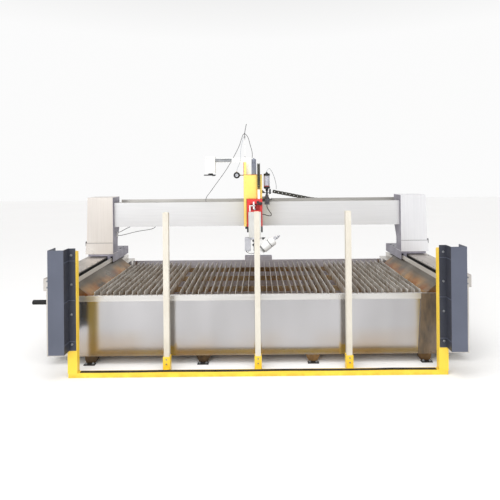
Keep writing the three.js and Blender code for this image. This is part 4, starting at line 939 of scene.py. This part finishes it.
valve = together(
    bar_stock((0.106, 1.216, 1.712), (0.174, 1.284, 1.79)),
    turned([(0, 0.033), (0.004, 0.035), (0.03, 0.035), (0.036, 0.028)], on_hopper(1.789), sides=28),
    turned([(0, 0.022), (0.02, 0.022), (0.026, 0.014), (0.046, 0.012)], on_hopper(1.824), sides=20),
    turned([(0, 0.014), (0.008, 0.0135), (0.012, 0.01)], (0.14, 1.216, 1.752), FRONT, 20),
    turned([(0, 0.012), (0.002, 0.012), (0.0025, 0.009)], on_hopper(1.7125), (0, 0, -1), 6),
)
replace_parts(fitted("dosing_valve", valve, valve_grey, "carriage", 0.0015), "metering_valve")
bracket = together(
    bar_stock((0.0755, 1.2105, 1.868), (0.2, 1.2895, 1.874)),
    bar_stock((0.0755, 1.2105, 1.8735), (0.081, 1.2895, 1.91)),
    swept([(0.081, 1.874), (0.12, 1.874), (0.081, 1.9095)], 1, 1.2105, 1.2145),
)
fitted("hopper_bracket", bracket, saddle_paint, "carriage", 0.001)
neck = turned([(0, 0.012), (0.02, 0.012), (0.021, 0.018), (0.053, 0.02)], on_hopper(1.8735), sides=18)
fitted("hopper_neck", neck, gauge_black, "carriage")
paddle = together(
    swept([(0.15, 1.845), (0.205, 1.86), (0.2, 1.8), (0.178, 1.79)], 1, 1.206, 1.21),
    turned([(0, 0.006), (0.01, 0.006)], (0.16, 1.216, 1.835), FRONT, 12),
)
fitted("valve_plate", paddle, white_paint, "carriage", 0.0006)

# Cable chains: black nylon links, each two side plates with a round hole and two cross bars. The
# long one runs in the beam's trough to the carriage; the short one loops up over the slide.
LINK_PITCH = 0.06


def link(length, height, width, hole, corners=16):
    """One chain link centred on the origin, along X and as high as height along Z.

    Each side plate is a ring between a rounded rectangle, the circle's directions pushed out to a
    tenth-power oval, and a round hole; two thin bars join the plates.
    """
    turn = np.linspace(0, 2 * math.pi, corners, endpoint=False)
    c, s = np.cos(turn), np.sin(turn)
    oval = (c**10 + s**10) ** 0.1
    outer = np.stack([0.5 * length * c / oval, 0.5 * height * s / oval], axis=1)
    inner = hole * np.stack([c, s], axis=1)
    thick = 0.1 * width
    shapes = []
    for y in (-0.5 * width, 0.5 * width - thick):
        rings = np.empty((4, corners, 3))
        rings[0, :, [0, 2]], rings[1, :, [0, 2]] = outer.T, outer.T
        rings[2, :, [0, 2]], rings[3, :, [0, 2]] = inner.T, inner.T
        rings[0, :, 1] = rings[3, :, 1] = y
        rings[1, :, 1] = rings[2, :, 1] = y + thick
        here = np.arange(4 * corners).reshape(4, corners)
        over, next_ring = np.roll(here, -1, axis=1), np.roll(here, -1, axis=0)
        faces = np.stack([here, over, np.roll(over, -1, axis=0), next_ring], axis=-1).reshape(-1, 4)
        shapes.append((rings.reshape(-1, 3), faces.tolist()))
    for z in (-0.46 * height, 0.4 * height):
        shapes.append(
            bar_stock((-0.38 * length, -0.45 * width, z), (0.38 * length, 0.45 * width, z + 0.06 * height)),
        )
    return together(*shapes)


def chain(line, pitch, one):
    """Links one after another along a line of points, each turned about Y or X to lie along it."""
    line = np.array(line, float)
    gone = np.concatenate([[0], np.cumsum(np.linalg.norm(np.diff(line, axis=0), axis=1))])
    count = int(gone[-1] // pitch)
    at = (np.arange(count + 1) + 0.5 * (gone[-1] / pitch - count)) * pitch
    joints = np.stack([np.interp(at, gone, line[:, k]) for k in range(3)], axis=1)
    shapes = []
    for a, b in zip(joints[:-1], joints[1:]):
        along = (b - a) / np.linalg.norm(b - a)
        across = (0, 1, 0) if abs(along[0]) > 1e-6 or line[:, 0].std() > 1e-6 else (1, 0, 0)
        turn = np.stack([along, across, np.cross(along, across)])
        shapes.append((one[0] @ turn + (a + b) / 2, one[1]))
    return together(*shapes)


chain_black = finish("chain_nylon", "#45443b", "#2c2b26", 0.5, grain=150, depth=0.0002, cloud=10)
bend = np.radians(np.linspace(90, -90, 13))
line = np.vstack([
    [(0.226, 1.862), (0.5, 1.806), (0.83, 1.737), (0.91, 1.7285), (0.98, 1.725)],
    np.stack([1.63 + 0.095 * np.cos(bend), 1.63 + 0.095 * np.sin(bend)], axis=1),
    [(1.5, 1.535), (0.0, 1.535)],
])
line = np.insert(line, 1, 1.995, axis=1)
long_chain = fitted(
    "cable_chain", chain(line, LINK_PITCH, link(1.03 * LINK_PITCH, 0.049, 0.058, 0.0075)), chain_black,
)
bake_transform(long_chain)
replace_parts(long_chain, "x_chain")
end_plate = bars(
    ((-0.05, 1.966, 1.5055), (0.0, 2.024, 1.5095)),
    ((-0.01, 1.966, 1.509), (-0.006, 2.024, 1.545)),
)
fitted("chain_fixed_end", end_plate, steel_bolts, "gantry", 0.0008)
low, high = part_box("z_chain")
y0, y1, x = low.y + 0.0095, high.y - 0.0095, (low.x + high.x) / 2
middle, radius = (y0 + y1) / 2, (y1 - y0) / 2
arch = np.radians(np.linspace(180, 0, 9))
line = np.vstack([
    [(x, y0, low.z + 0.002)],
    np.stack(
        [np.full(9, x), middle + radius * np.cos(arch), high.z - 0.011 - radius + radius * np.sin(arch)],
        axis=1,
    ),
    [(x, y1, low.z + 0.05)],
])
short_chain = fitted(
    "slide_chain", chain(line, 0.022, link(0.0235, 0.02, 0.038, 0.0032, 12)), chain_black,
)
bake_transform(short_chain)
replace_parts(short_chain, "z_chain")

# Vertical slide: a grey ram that slides in the column, held by a red welded frame with a window
# for the ball screw, black rubber stops on its foot, and a clamp bracket with a knob.
ram_paint = finish("ram_grey", "#dcdcd9", "#c6c6c3", 0.4, 0.25, grain=(160, 160, 20), depth=0.0001, cloud=5)
red_paint = stain_and_painted_reflection_tint(
    finish("red_paint", "#e8403c", "#cf2c2b", 0.38, grain=200, depth=0.0001, cloud=6),
    "#7c1416", 1.76, 1.62, 5, 0.4,
)
painted_shade_red = finish("window_inside_painted_shade", "#8e1418", "#5a0c10", 0.55, grain=(90, 90, 20), cloud=12)
dress(ram_paint, "ram")
dress(red_paint, "slide_frame")
# The window's back is a dark red sheet: painted shade inside the red frame.
window = bar_stock((-0.0845, 1.186, 1.6455), (0.0395, 1.19, 1.7325))
fitted("window_back", window, painted_shade_red, "z_slide", 0.0006)
turns = np.arange(0, 0.1, 0.0025)
thread = [(h, 0.0105 if i % 2 else 0.0088) for i, h in enumerate(turns)]
screw = together(
    turned(thread, (-0.0275, 1.162, 1.635), sides=20),
    turned([(0, 0.018), (0.022, 0.018), (0.024, 0.014)], (-0.0275, 1.162, 1.6455), sides=24),
)
fitted("ball_screw", screw, ground_steel, "z_slide")
low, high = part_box("slide_frame")
face, sides_back, STOP_TOP = low.y - 0.0008, low.y + 0.07, 1.431
stops = bars(*(
    ((x0, low.y - 0.0025, low.z + 0.0005), (x1, back, STOP_TOP))
    for x0, x1, back in (
        (low.x - 0.0005, low.x + 0.0205, face),
        (high.x - 0.0205, high.x + 0.0005, face),
        (low.x - 0.0018, low.x - 0.0002, sides_back),
        (high.x + 0.0002, high.x + 0.0018, sides_back),
    )
))
fitted("slide_stops", stops, motor_black, "z_slide", 0.0005)
clamp_front = low.y - 0.008
clamp = bars(
    ((-0.082, clamp_front, 1.7), (-0.02, face, 1.712)),
    ((-0.05, clamp_front, 1.66), (-0.03, face, 1.76)),
    ((-0.1, clamp_front, 1.63), (-0.082, face, 1.712)),
)
fitted("hose_clamp", clamp, white_paint, "z_slide", 0.001)
knob = together(
    turned([(0, 0.008), (0.006, 0.008), (0.0065, 0.02), (0.012, 0.023), (0.021, 0.023), (0.024, 0.019)],
           (0.05, 1.1195, 1.735), FRONT, 24),
    bar_stock((-0.012, low.y - 0.012, 1.722), (0.05, face, 1.734)),
    bar_stock((0.0, clamp_front, 1.742), (0.03, face, 1.768)),
)
fitted("clamp_knob", knob, motor_black, "z_slide", 0.0008)
hanger = bar_stock((0.0148, 1.1384, 1.7935), (0.0452, 1.1398, 1.9195))
fitted("chain_hanger_face", hanger, white_paint, "z_slide", 0.0004)

# Swivel arm and cutting head: a round flange under the ram carries the yoke, a white junction box
# and the inclined tilt motor. The on-off valve and its carbide nozzle hang from the tilt holder.
AXIS_X, AXIS_Y, TIP_Z, TILT = -0.0275, 1.1455, 1.05, math.radians(38)
head_white = finish("head_white", "#f0f0ef", "#dfdfde", 0.38, grain=180, depth=0.0001, cloud=5)
head_grey = finish("head_grey", "#cfd0d6", "#b4b5bc", 0.4, 0.2, grain=(180, 180, 30), cloud=6)


def on_tilt(distance, aside=0.0):
    """The point in X and Z that far along the tilt axis from the nozzle's tip, and that far aside."""
    c, s = math.cos(TILT), math.sin(TILT)
    return (AXIS_X + distance * c - aside * s, TIP_Z + distance * s + aside * c)


def on_motor(distance, aside=0.0):
    """The same point of the tilt axis, in X, Y and Z."""
    x, z = on_tilt(distance, aside)
    return (x, AXIS_Y, z)


flange_profile = [(0, 0.07), (0.003, 0.075), (0.012, 0.075), (0.0125, 0.062), (0.0218, 0.062)]
flange = turned(flange_profile, (AXIS_X, AXIS_Y, 1.265), sides=48)
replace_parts(fitted("swivel_flange", flange, head_grey, "swivel"), "swivel_arm")
ring_bolts = [
    (AXIS_X + 0.066 * math.cos(a), AXIS_Y + 0.066 * math.sin(a), 1.2651)
    for a in np.radians(np.arange(15, 360, 30))
]
bolted("flange_bolts", (0, 0, -1), 0.012, ring_bolts, "swivel")
junction = bars(
    ((-0.1625, AXIS_Y - 0.035, 1.107), (-0.0845, AXIS_Y + 0.035, 1.2835)),
    ((-0.1565, AXIS_Y - 0.0375, 1.114), (-0.0905, AXIS_Y - 0.0345, 1.2765)),
    ((-0.09, AXIS_Y - 0.03, 1.266), (-0.03, AXIS_Y + 0.03, 1.2825)),
)
fitted("junction_box", junction, head_grey, "swivel", 0.003)
fittings = together(
    turned(
        [(0, 0.011), (0.006, 0.011), (0.007, 0.008), (0.014, 0.0075)], (-0.14, AXIS_Y, 1.1078), (0, 0, -1),
        12,
    ),
    turned(
        [(0, 0.009), (0.006, 0.009), (0.007, 0.006), (0.012, 0.006)], (-0.112, AXIS_Y, 1.1078), (0, 0, -1),
        12,
    ),
    turned([(0, 0.012), (0.01, 0.012), (0.012, 0.009)], (-0.052, AXIS_Y - 0.03, 1.243), FRONT, 16),
    turned([(0, 0.012), (0.01, 0.012), (0.012, 0.009)], (-0.052, AXIS_Y - 0.03, 1.19), FRONT, 16),
    swept([(0.062, 1.2855), (0.112, 1.2855), (0.076, 1.247)], 1, AXIS_Y - 0.03, AXIS_Y - 0.018),
)
fitted("head_fittings", fittings, motor_black, "swivel", 0.0006)
yoke_outline = [
    (AXIS_X - 0.04, 1.269), (AXIS_X - 0.03, 1.251), (AXIS_X + 0.048, 1.241), on_tilt(0.15), on_tilt(0.225),
    (AXIS_X + 0.13, 1.273),
]
yoke = together(
    swept(yoke_outline, 1, AXIS_Y - 0.03, AXIS_Y - 0.02),
    swept(yoke_outline, 1, AXIS_Y + 0.02, AXIS_Y + 0.03),
    swept([(x * 0.94 + 0.003, z * 0.94 + 0.074) for x, z in yoke_outline], 1, AXIS_Y - 0.021, AXIS_Y + 0.021),
)
fitted("yoke", yoke, head_white, "swivel", 0.002)
way = (math.cos(TILT), 0, math.sin(TILT))
tilt_motor = turned(
    [(0, 0.046), (0.002, 0.05), (0.022, 0.05), (0.024, 0.056), (0.03, 0.062), (0.125, 0.062), (0.13, 0.058),
     (0.138, 0.058), (0.142, 0.062), (0.185, 0.062), (0.207, 0.05), (0.213, 0.034)], on_motor(0.115), way, 40,
)
fitted("tilt_motor", tilt_motor, head_white, "swivel")
bands = together(*(
    turned([(0, r), (0.001, r + 0.0012), (0.006, r + 0.0012), (0.007, r)], on_motor(a), way, 40)
    for a, r in ((0.118, 0.05), (0.128, 0.05), (0.246, 0.0585))
))
fitted("motor_bands", bands, motor_black, "swivel")
plug_profile = [
    (0, 0.0125), (0.03, 0.0125), (0.031, 0.0155), (0.052, 0.0155), (0.053, 0.011), (0.095, 0.0095),
]
plugs = together(
    turned(plug_profile, on_motor(0.326, -0.002), way, 16),
    turned([(0, 0.01), (0.03, 0.01), (0.031, 0.0065), (0.05, 0.0065)], on_motor(0.32, 0.025), way, 16),
)
fitted("motor_plugs", plugs, head_grey, "swivel")
rings = together(*(
    turned([(0, 0.0162), (0.006, 0.0162)], on_motor(a, -0.002), way, 16) for a in (0.36, 0.39)
))
fitted("plug_rings", rings, motor_black, "swivel")
holder = together(
    swept([on_tilt(0.1, -0.045), on_tilt(0.1138, -0.045), on_tilt(0.1138, 0.125), on_tilt(0.1, 0.125)], 1,
          AXIS_Y - 0.03, AXIS_Y + 0.03),
    swept([(AXIS_X, 1.118), on_tilt(0.101, -0.02), on_tilt(0.101, 0.07), (AXIS_X + 0.004, 1.2)], 1,
          AXIS_Y - 0.016, AXIS_Y + 0.016),
)
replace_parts(fitted("tilt_holder", holder, head_white, "tilt", 0.002), "cutting_head")
valve_steel = finish("valve_steel", "#c3c5c9", "#94969b", 0.28, 0.95, grain=(200, 200, 30), cloud=12)
valve = turned(
    [(0, 0.006), (0.03, 0.0062), (0.032, 0.011), (0.05, 0.0125), (0.055, 0.02), (0.075, 0.022),
     (
         0.077, 0.018,
     ), (0.1, 0.018), (0.102, 0.022), (0.15, 0.022), (0.153, 0.019), (0.176, 0.019), (0.185, 0.013)],
    (AXIS_X, AXIS_Y, TIP_Z), sides=28,
)
inlet = turned(
    [(0, 0.0055), (0.012, 0.0055), (0.013, 0.0075), (0.02, 0.0075)], (AXIS_X, AXIS_Y, TIP_Z + 0.024),
    (-1, 0, 0.1), 10,
)
fitted("jet_valve", together(valve, inlet), valve_steel, "tilt")

# Side handle: a cross-grooved rubber grip on a steel collar, fixed to the left side beam's outer
# face beside its front end.
low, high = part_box("side_handle")
centre = (high.x, (low.y + high.y) / 2, (low.z + high.z) / 2)
COLLAR, GRIP, OUTWARDS = 0.0143, 0.027, (-1, 0, 0)
grip_rubber = finish("grip_rubber", "#1d1d1f", "#0f0f10", 0.7, grain=300, depth=0.0003, cloud=12)
length = high.x - low.x - COLLAR
ridges = [(COLLAR + 0.004 + i * (length - 0.012) / 28, GRIP - (0.0022 if i % 2 else 0.0)) for i in range(29)]
grip_end = [(COLLAR + length - 0.003, GRIP - 0.004), (COLLAR + length, GRIP - 0.012)]
grip = turned([(COLLAR - 0.001, GRIP - 0.004), *ridges, *grip_end], centre, OUTWARDS, 28)
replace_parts(fitted("handle_grip", grip, grip_rubber, "handle"), "side_handle")
collar = turned([(0, 0.017), (0.002, 0.02), (0.012, 0.02), (0.0145, 0.016)], centre, OUTWARDS, 28)
fitted("handle_collar", collar, steel_bolts, "handle")
